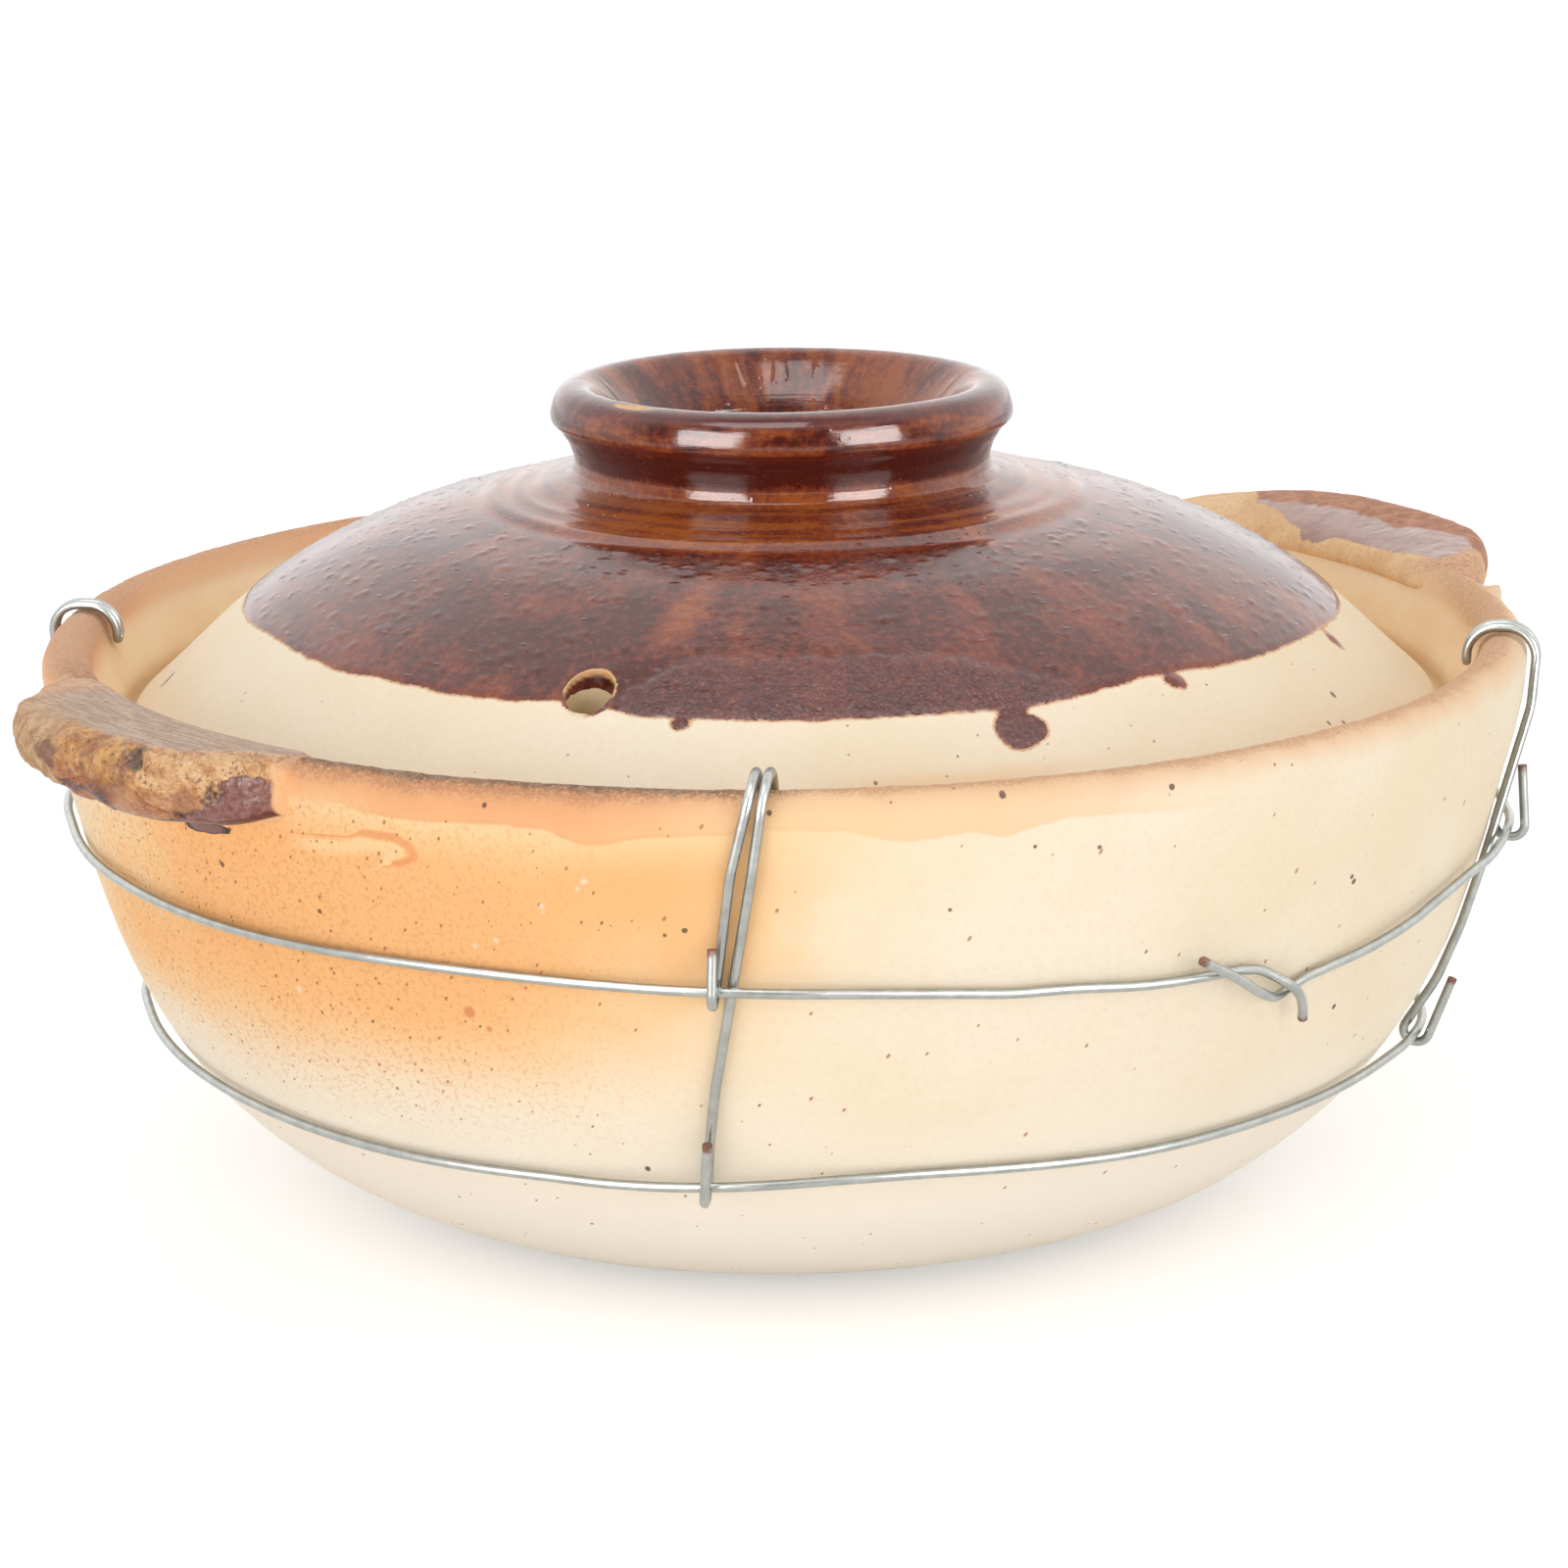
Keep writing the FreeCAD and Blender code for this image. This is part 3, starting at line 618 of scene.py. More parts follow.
def bowl_material():
    p = Paint("fired_clay")
    lip, band, smear, beside_lug, run = p.attributes("lip", "band", "smear", "beside_lug", "run")
    outside = p.math("LESS_THAN", lip, 0.5)
    left = p.window(p.azimuth, -178.0, -145.0, -16.0, 4.0)
    grain, coarse = p.noise(0.6, 3.0, 0.75), p.noise(1.5, 2.0, 0.6)
    dense, flash_and_painted_light = flame_flash_and_painted_light(p, outside)
    crust, ashy, toast = toasted_rim(p, lip, left, grain, coarse)
    fine_specks, dark_specks = clay_specks(p, p.fit(p.product(dense, outside), 0.88, 0.10))
    on_wall = p.rise(lip, 3.0, 0.0)
    marks = p.product(marked(p, BOWL_SCALE, p.z, BOWL_MARKS), outside)
    scuffs = marked(p, BOWL_SCALE, p.z, BOWL_SCUFFS, 0.4)
    blob = marked(p, BOWL_SCALE, p.z, ORANGE_BLOB, 0.3)
    # inside the rim the clay is warm and a little darker, and from below the ledge it is glazed
    within = p.mottled(p.noise(20.0, 3.0, 0.6), 0.35, 0.65, (248, 219, 175), (243, 207, 159))
    edge = p.total(lip, p.product(p.noise(7.0, 3.0, 0.6), 3.0))
    glazed, spill = p.rise(edge, 46.6, 47.2), p.rise(run, 0.0, 0.12)
    colour = p.coats(clay_paint(p), *flash_and_painted_light, *rim_wash(p, band, smear, beside_lug, left, outside), *toast,
                     (within, p.rise(lip, 5.0, 11.0), 0.8),
                     (RUST_SPECK, fine_specks, on_wall, 0.8),
                     (BROWN_SPECK, dark_specks, on_wall, 0.9),
                     ((92, 60, 42), marks, 0.9),
                     ((255, 238, 222), scuffs, outside, 0.5),
                     ((222, 134, 76), blob, outside, 0.8),
                     ((122, 76, 66), spill),
                     ((60, 34, 30), p.window(run, -0.12, 0.0, 0.06, 0.22)),
                     (GLAZE_EDGE, p.window(edge, 45.6, 46.4, 46.9, 47.3)),
                     (glaze_colour(p, 0.05), glazed))
    shiny = p.math("MAXIMUM", glazed, spill)
    gravel = p.total(p.product(grain, 0.28), p.product(coarse, 0.25))
    matt = p.total(clay_relief(p, 0.05), p.product(crust, gravel), p.product(ashy, grain, 0.25),
                   p.product(p.math("MAXIMUM", dark_specks, marks), -0.06))
    relief = p.total(p.product(matt, p.inverse(shiny)), p.product(glaze_relief(p), shiny))
    return p.finish(colour, p.fit(shiny, -0.68, 0.86), relief)


# lid

LID_COLUMNS = 960
DOME_OUTSIDE = [(114, 87.4), (104.5, 96), (95.5, 103.8), (83, 111.5), (61, 119.5), (37.8, 125.5)]
DOME_INSIDE = [(0, 121.5), (30, 119.5), (55, 114), (77, 107), (89, 100.5), (99, 92), (108.4, 83)]
# the edge of the glaze, as azimuth and distance from the axis
GLAZE_LINE = [(-180, 96), (-150, 95.2), (-120, 96), (-100, 95.4), (-76, 94.7), (-65, 93.7), (-51, 94.9),
              (-43, 94.3), (-35, 94.8), (-27, 94.7), (-22.5, 93.8), (-16.6, 94.6), (-14, 95.6), (0, 95.8),
              (12, 95.8), (24, 95.9), (28, 95.6), (32.6, 94.7), (37.4, 94.2), (43, 94.4), (47, 95.2),
              (60.6, 95.8), (70, 96.4), (80, 97.2), (90, 97.7), (105, 97), (125, 95.8), (155, 96.4),
              (180, 96)]
# azimuth of the steam hole, its distance from the axis, its radius
STEAM_HOLE = (math.radians(-19.6), 91.9, 4.0)
# drips and splashes: azimuth, radius, half width along the rim, half length down the slope
DRIPS = [(-9.9, 96.5, 1.5, 1.2), (21.7, 99.3, 4.4, 3.5), (21.6, 96.4, 2.3, 1.9), (40.8, 95.6, 1.9, 1.5),
         (41.4, 96.5, 0.8, 0.9), (70.5, 98.7, 1.4, 2.0), (128.0, 98.2, 2.4, 2.6), (-128.0, 97.6, 1.8, 1.8)]
# azimuth, distance from the axis and radius of single marks on the bare clay
LID_MARKS = [(-82.9, 107.8, 0.6), (-82.6, 108.6, 0.6), (-82.4, 109.3, 0.5), (60.4, 104.4, 0.5),
             (56.0, 107.5, 0.35), (58.2, 108.2, 0.35), (15.1, 102.1, 0.2), (13.7, 104.7, 0.15),
             (7.5, 105.0, 0.3), (17.5, 99.4, 0.15)]
LID_SCALE = math.radians(1) * 103
PIMPLE_COUNT = 1500
# turned steps round the knob: distance from the axis, height, width
STEPS = [(43.8, -0.18, 1.5), (46.4, 0.10, 1.1), (50.6, 0.30, 1.6), (53.6, -0.18, 1.7), (68.0, 0.36, 7.0)]


def glaze_depth(azimuth, radius, points):
    """Signed distance, in millimetres, inside the edge of the glaze on top of the lid."""
    edge = np.interp(azimuth, *zip(*GLAZE_LINE)) + 0.45 * noise(points, 4.0, 21, 3, 0.6)
    depth = (edge - radius) * 1.3
    for middle, reach, wide, long in DRIPS:
        across = np.radians(azimuth - middle) * radius
        down = (radius - reach) * 1.3
        bulge = 1 + 0.08 * np.sin(3 * np.arctan2(across, down) + middle)
        drop = (bulge - np.hypot(across / wide, down / long)) * min(wide, long)
        depth = 0.35 * np.logaddexp(np.clip(depth, -15, 15) / 0.35, np.clip(drop, -15, 15) / 0.35)
    return depth


def crusted(azimuth, depth):
    """Where the glaze has boiled into a crust: a strip along its edge at the front."""
    reach = 13.5 * eased(azimuth, -18.5, -9) * eased(azimuth, 33, 14)
    across = eased(azimuth, -17.5, -14) * eased(azimuth, 32, 26)
    return across * eased(depth, -0.2, 0.6) * eased(depth, reach + 2.5, 0.75 * reach)


def make_lid():
    profile = softened(joined(
        curve(DOME_INSIDE, 1.6), straight((108.4, 83), (113.4, 83), 0.8),
        curve([(113.4, 83), (115, 85.2), (114, 87.4)], 0.7), curve(DOME_OUTSIDE, 0.55),
        straight((37.8, 125.5), (25, 127.8), 1.5), curve([(25, 127.8), (13, 129.0), (0, 129.4)], 1.5)), 2)
    points, normals, azimuth = swept_grid(profile, LID_COLUMNS)
    along = lengths(profile)
    # distance along the profile from the rim of the lid, more than 0 on top
    path = (along - along[np.argmax(profile[:, 0])])[:, None] + 0 * azimuth
    radius = profile[:, 0:1] + 0 * path
    outer = path > 0.5
    depth = np.where(outer, glaze_depth(azimuth, radius, points), -8)
    turned = ringed(path, 30, azimuth)
    bare = eased(depth, 1.0, -1.0)
    shift = (0.04 * noise(turned, 6.0, 23) + 0.02 * bare * noise(turned, 2.6, 24)
             + 0.14 * noise(points, 34.0, 25) + 0.02 * (0.3 + bare) * noise(points, 5.0, 26, 2) - 0.12)
    for middle, height, width in STEPS:
        wave = radius + 0.4 * np.sin(np.radians(azimuth) * 2 + middle)
        shift += np.where(outer, height * hump(wave, middle, width), 0)
    crust = crusted(azimuth, depth)
    coat = 0.26 * eased(depth, -0.05, 1.2) + 0.08 * hump(depth, 0.9, 0.6) * (1 - crust)
    coat += crust * (0.38 * np.abs(noise(points, 2.0, 27, 2)) + 0.20 * noise(points, 1.2, 28) - 0.10)
    coat += pimples(azimuth, radius, depth, profile)
    shift += np.where(outer, coat, 0)
    foot = points[..., 2] < 83.6
    shift = np.where(foot, np.minimum(shift, 0) * 0.3, np.where(outer, shift, np.minimum(shift, 0)))
    lid = turned_piece("lid_glazed_dome", points + shift[..., None] * normals)
    pierce(lid)
    add_lid_masks(lid)
    return lid


def add_lid_masks(lid):
    place = positions(lid.data)
    azimuth = np.degrees(np.arctan2(place[:, 0], -place[:, 1]))
    radius = np.hypot(place[:, 0], place[:, 1])
    outside = np.array([(0, 129.4), (25, 127.8)] + DOME_OUTSIDE[::-1] + [(116, 86.0)])
    surface = np.interp(radius, *outside.T)
    inside = np.interp(radius, *np.array(DOME_INSIDE + [(116, 83.0)]).T)
    top = place[:, 2] > (surface + inside) / 2
    turn, reach, hole = STEAM_HOLE
    away = np.hypot(place[:, 0] - reach * math.sin(turn), place[:, 1] + reach * math.cos(turn))
    below = surface - place[:, 2]
    bore = (away < hole + 0.45) & (below > 0.02) & (place[:, 2] > inside + 0.3)
    depth = np.where(top, glaze_depth(azimuth, radius, place), -8)
    # the glaze runs a little way down the uphill side of the hole
    ragged = 0.5 * noise(place, 2.0, 29, 2)
    down_bore = 2.8 + ragged - below - 0.35 * (radius - reach + hole)
    keep(lid.data, "glaze", np.where(bore, np.clip(down_bore, -3, 3), depth))
    keep(lid.data, "crust", np.where(top & ~bore, crusted(azimuth, depth), 0))
    keep(lid.data, "bore", np.where(bore, eased(below, 0.0, 0.5), 0))


def pimples(azimuth, radius, depth, profile):
    """Raised dots in the glaze."""
    random = np.random.default_rng(41)
    out = np.zeros(azimuth.shape)
    columns = azimuth.shape[1]
    outer_rows = np.arange(np.argmax(profile[:, 0]), len(profile))
    for _ in range(PIMPLE_COUNT):
        r = math.sqrt(random.uniform(56 ** 2, 96 ** 2))
        a = random.uniform(-180, 180)
        size = random.uniform(0.45, 0.75)
        tall = random.uniform(0.06, 0.26) * random.uniform(0.4, 1.0)
        stretch = random.uniform(0.9, 2.0)
        row = outer_rows[np.argmin(np.abs(profile[outer_rows, 0] - r))]
        column = int((a + 180) / 360 * columns) % columns
        rows = np.arange(max(row - 6, outer_rows[0]), min(row + 7, len(profile)))
        span = np.arange(column - 10, column + 11) % columns
        window = np.ix_(rows, span)
        gap = (azimuth[window] - a + 180) % 360 - 180
        across = np.radians(gap) * radius[window] / size / stretch
        down = (radius[window] - r) * 1.2 / size
        out[window] = np.maximum(out[window], tall * np.exp(-across ** 2 - down ** 2))
    return out * eased(depth, 0.5, 2.5)


def pierce(lid):
    """Cuts the steam hole with a slightly uneven cutter, narrower along the line to the knob."""
    turn, reach, hole = STEAM_HOLE
    outward = np.array([math.sin(turn), -math.cos(turn)])
    centre = reach * outward
    sides, levels = 96, np.linspace(92, 114, 45)
    angle = np.radians(np.arange(sides) * 360 / sides)
    ring = np.stack([np.cos(angle), np.sin(angle)], axis=-1)
    squeezed = ring - 0.07 * (ring @ outward)[:, None] * outward
    rows = []
    for level in levels:
        wobble = hole + 0.14 * noise(np.c_[ring * 2.4, np.full(sides, level * 0.4)], 1.0, 51, 2)
        rows.append(np.c_[centre + squeezed * wobble[:, None], np.full(sides, level)])
    points = np.array(rows)
    cutter = capped_rows("hole_cutter", points, points[0].mean(0), points[-1].mean(0))
    cut = lid.modifiers.new("hole", "BOOLEAN")
    cut.operation, cut.solver, cut.object = "DIFFERENCE", "EXACT", cutter
    graph = bpy.context.evaluated_depsgraph_get()
    pierced = bpy.data.meshes.new_from_object(lid.evaluated_get(graph))
    lid.modifiers.remove(cut)
    lid.data = pierced
    bpy.data.objects.remove(cutter)
    lid.data.shade_smooth()
    lid.data.set_sharp_from_angle(angle=math.radians(50))


def dome_glaze(p, depth, crust):
    """Glaze with runs, rings round the knob, one amber streak and the boiled crust at the front, with painted
    shade in the crust's pits and painted highlights on its grains.
    """
    flow = p.wrapped(0.12, p.product(p.radius, 0.022))
    rings = p.noise(1.0, 2.0, 0.5, vector=p.wrapped(0.02, p.product(p.radius, 0.42)))
    near_knob = p.rise(p.radius, 60.0, 48.0)
    streak = p.product(p.window(p.total(p.azimuth, p.fit(p.radius, 0.17, -12.4)), -16.0, -12.6, -11.6, -8.0),
                       p.window(p.radius, 58.0, 66.0, 80.0, 87.0))
    thin = p.total(p.product(near_knob, p.rise(rings, 0.40, 0.62, 0.0, 0.5)), p.product(near_knob, 0.20),
                   p.product(streak, 0.45), p.rise(depth, 1.6, 0.2, 0.0, 0.12))
    patchy = p.noise(0.7, 3.0, 0.65)
    return p.coats(glaze_colour(p, thin, flow),
                   ((92, 30, 28), crust, 0.65),
                   ((160, 76, 48), crust, p.rise(patchy, 0.56, 0.66), 0.55),
                   # painted shade: near-black patches for the pits of the crust
                   ((54, 18, 20), crust, p.rise(patchy, 0.46, 0.36), 0.65),
                   # painted highlights: pale pink specks on the crust
                   ((206, 150, 128), crust, p.specks(1.8, 0.22, 0.04, 0.12), 0.6))


def hole_rim(p, on_top):
    """The golden, bubbly rim of the steam hole where the glaze meets it."""
    turn, reach, hole = STEAM_HOLE
    aside = p.distance(p.total(p.x, -reach * math.sin(turn)), p.total(p.y, reach * math.cos(turn)))
    away = p.total(aside, p.fit(p.noise(0.8, 2.0, 0.6), 0.8, -0.4),
                   p.rise(p.radius, reach + 1.0, reach - hole, 0.0, 0.25))
    return p.product(p.window(away, hole - 0.6, hole - 0.3, hole + 0.30, hole + 0.50), on_top,
                     p.rise(p.radius, reach + 1.8, reach + 0.2))


def lid_material():
    p = Paint("lid_glaze_over_clay")
    depth, crust, bore = p.attributes("glaze", "crust", "bore")
    ragged = p.total(depth, p.fit(p.noise(0.9, 3.0, 0.7), 0.8, -0.4))
    glazed = p.rise(ragged, -0.08, 0.08)
    on_top = p.inverse(bore)
    fine_specks, dark_specks = clay_specks(p, 0.05)
    # a faint warm stain near the front of the lid's edge, and a tanned side
    stain = p.product(p.window(p.azimuth, 2.0, 10.0, 17.0, 34.0),
                      p.window(p.radius, 103.0, 105.5, 107.0, 109.0))
    tanned = p.window(p.azimuth, 30.0, 90.0, 140.0, 176.0)
    marks = marked(p, LID_SCALE, p.radius, LID_MARKS)
    colour = p.coats(clay_paint(p),
                     ((244, 200, 146), stain, 0.5),
                     ((238, 212, 172), tanned, 0.35),
                     (RUST_SPECK, fine_specks, 0.6),
                     (BROWN_SPECK, dark_specks),
                     ((110, 84, 66), marks, p.math("LESS_THAN", depth, 0.0), 0.85),
                     ((222, 194, 148), bore),
                     (dome_glaze(p, depth, crust), glazed),
                     (GLAZE_EDGE, p.window(ragged, -0.42, -0.10, 0.02, 0.22), on_top, 0.8),
                     ((230, 180, 124), hole_rim(p, on_top), 0.9))
    roughness = p.total(p.fit(glazed, -0.76, 0.88), p.product(glazed, p.noise(3.0, 3.0, 0.6), 0.10),
                        p.product(crust, 0.05))
    grain, _ = p.cells(0.9)
    gravel = p.total(p.noise(0.8, 3.0, 0.7), p.product(p.inverse(grain), 0.5))
    matt = p.total(clay_relief(p, 0.03), p.product(dark_specks, -0.05))
    shiny = p.total(glaze_relief(p), p.product(crust, gravel, 0.55))
    return p.finish(colour, roughness, p.total(p.product(matt, p.inverse(glazed)), p.product(shiny, glazed)))


# knob ring

KNOB_COLUMNS = 640
KNOB_OUTSIDE = [(41.8, 123.9), (39.4, 124.9), (37.7, 125.8), (36.6, 126.9), (36.5, 128.4), (37.1, 130.4),
                (38.3, 132.7), (39.3, 134.3)]
KNOB_BAND = [(39.3, 134.3), (40.4, 135.2), (40.6, 136.2), (40.3, 137.9), (39.7, 139.5), (38.6, 140.8),
             (37.0, 141.55), (35.3, 141.75)]
KNOB_INSIDE = [(35.3, 141.75), (33.7, 141.3), (32.2, 140.2), (30.2, 138.1), (27.9, 135.4), (26.0, 132.4),
               (25.0, 129.6), (25, 127.8)]
# turned rings outside: height, how far they stand out, width
KNOB_RINGS = [(127.4, 0.20, 0.4), (131.4, -0.12, 0.8), (134.3, -0.26, 0.35)]
RUN_COUNT = 18
CHIP_AZIMUTH = -44.5


def hollow_runs(azimuth, height):
    """Raised runs of glaze down the hollow of the knob."""
    random = np.random.default_rng(7)
    out = np.zeros(azimuth.shape)
    for _ in range(RUN_COUNT):
        middle, width = random.uniform(-180, 180), random.uniform(0.8, 1.6)
        low = random.uniform(130, 138)
        lean = random.uniform(-0.4, 0.4)
        gap = np.abs((azimuth - middle - lean * (height - 136) + 180) % 360 - 180) * 0.53
        out += 0.14 * hump(gap, 0, width * 0.6) * eased(height, low, low + 2.5)
    return out * eased(height, 141.6, 138.5)


def make_knob():
    profile = joined(curve(KNOB_OUTSIDE, 0.45), curve(KNOB_BAND, 0.45), curve(KNOB_INSIDE, 0.6),
                     straight((25, 127.8), (25, 127.0), 0.8), straight((25, 127.0), (37.8, 124.6), 1.2),
                     straight((37.8, 124.6), (41.8, 123.9), 1.0))[:-1]
    points, normals, azimuth = swept_grid(softened(profile, 1, closed=True), KNOB_COLUMNS, closed=True)
    height = points[..., 2]
    radius = np.hypot(points[..., 0], points[..., 1])
    seat_line = 127.0 - (radius - 25) * 2.4 / 12.8
    seat = (height < seat_line + 0.2) & (radius < 41)
    hollow = (radius < 34.9) & ~seat
    outside = ~hollow & ~seat
    shift = 0.12 * noise(points, 17.0, 61) + 0.04 * noise(points, 3.0, 62, 2) - 0.10
    shift += np.where(outside & (height < 134), 0.05 * noise(ringed(height, 8, azimuth), 0.9, 63), 0)
    line = height + 0.25 * np.sin(np.radians(azimuth) * 2 + 0.6)
    for middle, size, width in KNOB_RINGS:
        shift += np.where(outside & (height < 136), size * hump(line, middle, width), 0)
    shift += np.where(hollow, hollow_runs(azimuth, height), 0)
    # a chip on the crest
    gap = (azimuth - CHIP_AZIMUTH) * math.radians(1) * 36
    shift -= 0.4 * hump(gap, 0, 4.2) * hump(radius, 36.4, 1.1) * (height > 140)
    shift = np.where(height > 140, np.minimum(shift, 0), shift)
    knob = make_object("knob_ring_glazed", (points + shift[..., None] * normals).reshape(-1, 3),
                       grid_quads(*azimuth.shape, wrap_rows=True))
    chip = 1 - np.hypot(gap / 4.6, (radius - 36.5) / 1.1) + 0.5 * noise(points, 1.3, 66, 2)
    keep(knob.data, "chip", np.where(height > 139.5, chip, -1))
    return knob


def knob_material():
    p = Paint("knob_glaze")
    outside = p.rise(p.radius, 34.0, 36.0)
    hollow = p.inverse(outside)
    band = p.window(p.z, 134.4, 135.4, 138.6, 140.8)
    neck = p.window(p.z, 123.5, 124.5, 127.8, 129.0)
    # painted shade: darker glaze on the neck under the band's overhang
    painted_shade_ring = p.window(p.z, 128.8, 130.0, 133.0, 134.4)
    runs, patches, turned = (p.noise(1.0, 3.0, 0.6, vector=p.wrapped(per_degree, p.product(p.z, share)))
                             for per_degree, share in ((0.13, 0.07), (0.05, 0.25), (0.03, 1.6)))
    thin = p.total(p.product(band, outside, p.rise(patches, 0.40, 0.62), 0.55),
                   p.product(neck, outside, 0.50), p.product(hollow, p.rise(runs, 0.36, 0.60), 0.55),
                   p.product(painted_shade_ring, outside, -0.30))
    chip = p.rise(*p.attributes("chip"), 0.0, 0.15)
    colour = p.coats(glaze_colour(p, thin),
                     ((82, 28, 20), p.rise(runs, 0.36, 0.28), hollow, 0.7),
                     ((92, 26, 22), p.window(p.z, 139.4, 140.4, 141.0, 141.4), outside, 0.6),
                     ((104, 30, 20), p.window(p.z, 133.7, 134.1, 134.7, 135.2), outside, 0.6),
                     ((228, 178, 118), chip))
    roughness = p.total(p.fit(p.noise(2.0, 3.0, 0.6), 0.10, 0.07), p.product(chip, 0.5))
    return p.finish(colour, roughness, p.total(glaze_relief(p, 0.04), p.product(turned, 0.05)))


# lugs

LUG_ROWS, LUG_AROUND = 280, 160
LUG_THICK = 10.0
# "slices" gives the reach, "belly" the extra thickness and "sag" the height along the lug, which
# runs from -1 to 1
NEAR_LUG = {"azimuth": -54.0, "half_span": 17.5, "reach": 15.0, "rise": 2.0,
            "slices": [(-1, 0), (-.78, .29), (-.55, .68), (-.33, .9), (0, .99), (.33, .99), (.6, .92),
                       (.82, .66), (.95, .36), (1, 0)],
            "belly": [(-.8, 0), (-.3, -1.4), (.3, 0), (.85, 1.0), (1, .6)],
            "sag": [(-1, 0), (-.5, -1.0), (0, -.2), (.5, 0)]}
FAR_LUG = {"azimuth": 123.0, "half_span": 20.0, "reach": 15.5, "rise": 3.5,
           "slices": [(-1, 0), (-.82, .3), (-.62, .71), (-.36, .92), (0, .97), (.28, .98), (.52, .8),
                      (.78, .44), (1, 0)],
           "belly": [(0, 0)], "sag": [(0, 0)]}


def lug_sections(lug, turn):
    """Rounded sections of a lug, and for each point its share of the way round from the lip."""
    share = np.clip(through(*zip(*lug["slices"]), turn), 0, 1)
    sunk = 1 - eased(share, 0.0, 0.3)
    root = RIM - LIP - 1.0
    reach = RIM + lug["reach"] * share - 1.0 * sunk
    thick = LUG_THICK * (0.62 + 0.38 * share) + np.interp(turn, *zip(*lug["belly"]))
    top = RIM_TOP + lug["rise"] * share - 0.6 * sunk + np.interp(turn, *zip(*lug["sag"]))
    # the top of the lug is smoothed over the lip of the bowl
    cover = LIP - 0.5 * sunk + 0.35 * eased(share, 0.1, 0.45)
    sections, fractions = [], []
    for i in range(len(turn)):
        over_lip = [(LIP_MIDDLE[0] + size * math.cos(angle), LIP_MIDDLE[1] + size * math.sin(angle))
                    for size, angle in ((LIP - 1.4, 3.5), (cover[i], 3.0), (cover[i], 2.4), (cover[i], 1.9))]
        outline = np.array(over_lip + [
            (0.35 * root + 0.65 * reach[i], top[i]), (reach[i] - 2.2 * share[i], top[i] - 0.7),
            (reach[i], top[i] - 0.36 * thick[i]), (reach[i] - 0.6 * share[i], top[i] - thick[i]),
            (0.45 * root + 0.55 * reach[i], top[i] - thick[i] - 2.0), (root, 94 - thick[i])])
        t = lengths(outline)
        samples = np.linspace(0, t[-1], LUG_AROUND)
        sections.append(through(t, outline, samples))
        fractions.append((samples - t[3]) / (t[-1] - t[3]))
    return np.array(sections), np.array(fractions)


def make_lug(name, lug, rough_shift):
    """A pressed lug: slices along the rim, each sunk into the bowl at its root."""
    turn = np.linspace(-1, 1, LUG_ROWS)
    section, u = lug_sections(lug, turn)
    a = np.radians(lug["azimuth"] + turn * lug["half_span"])[:, None]
    points = np.stack([section[..., 0] * np.sin(a), -section[..., 0] * np.cos(a), section[..., 1]], axis=-1)
    normal = np.cross(np.gradient(points, axis=0), np.gradient(points, axis=1))
    normal /= np.maximum(np.linalg.norm(normal, axis=-1), 1e-9)[..., None]
    middle = LUG_ROWS // 2, LUG_AROUND // 2
    outward = np.sum(normal[middle] * points[middle] * (1, 1, 0))
    normal *= np.sign(outward)
    t = turn[:, None] + 0 * u
    free = eased(u, -0.04, 0.14) * eased(u, 0.99, 0.9) * eased(np.abs(t), 1.0, 0.93)
    points = points + (rough_shift(points, t, u) * free)[..., None] * normal
    made = capped_rows(name, points, points[0].mean(0), points[-1].mean(0), flip=outward < 0)
    keep(made.data, "along", np.r_[t.ravel(), -1, 1])
    keep(made.data, "around", np.r_[u.ravel(), 0.5, 0.5])
    return made


def near_shift(points, t, u):
    """Lumps and blisters on the face of the near lug, a pit, a crack and a smooth patch at its right."""
    face = eased(u + 0.13 * eased(t, 0.66, 0.95), 0.29, 0.37) * eased(u, 0.74, 0.64)
    smooth = eased(t + 2.2 * (u - 0.5), 0.62, 0.76) * eased(u, 0.45, 0.52)
    lumps = 0.85 * noise(points, 8.0, 71, 2) + 0.55 * np.abs(noise(points, 3.4, 72, 2)) - 0.35
    bubbles = 0.30 * np.abs(noise(points, 1.5, 73, 2)) + 0.12 * noise(points, 0.8, 76)
    top = 0.22 * noise(points, 9.0, 74, 2) + 0.12 * noise(points, 1.6, 75, 2) - 0.10
    pit = -1.3 * hump(t - 0.6 * (u - 0.38), 0.52, 0.035) * hump(u, 0.385, 0.045)
    crack_line = 0.545 - 0.05 * eased(t, 0.1, 0.4) + 0.10 * eased(t, 0.45, 0.8) + 0.008 * np.sin(t * 23)
    crack = -0.6 * hump(u, crack_line, 0.010) * eased(t, 0.9, 0.7) * eased(t, -0.05, 0.08)
    return top * (1 - face) + face * ((lumps + bubbles) * (1 - 0.85 * smooth) + pit + crack)


def far_shift(points, t, u):
    return (0.16 * noise(points, 10.0, 81, 2) + 0.10 * noise(points, 3.0, 82, 2)
            + 0.05 * noise(points, 1.2, 83) - 0.10)


def near_lug_top(p, t):
    """Ash grey and pink with fine streaks along the rim, sandier towards the left tip."""
    stretched = p.plane(p.product(p.azimuth, 0.35), p.product(p.radius, 1.3), p.z)
    fine = p.noise(0.8, 3.0, 0.7)
    ashy = p.mottled(p.noise(1.0, 3.0, 0.65, vector=stretched), 0.36, 0.62, (206, 178, 156), (176, 148, 128),
                     ((134, 104, 84), p.rise(fine, 0.52, 0.66, 0.0, 0.5)))
    sandy = p.mottled(p.noise(5.0, 3.0, 0.6), 0.4, 0.6, (222, 182, 148), (202, 156, 122),
                      ((160, 118, 88), p.rise(fine, 0.52, 0.64, 0.0, 0.4)))
    return p.mix(p.rise(t, -0.42, -0.72), ashy, sandy)


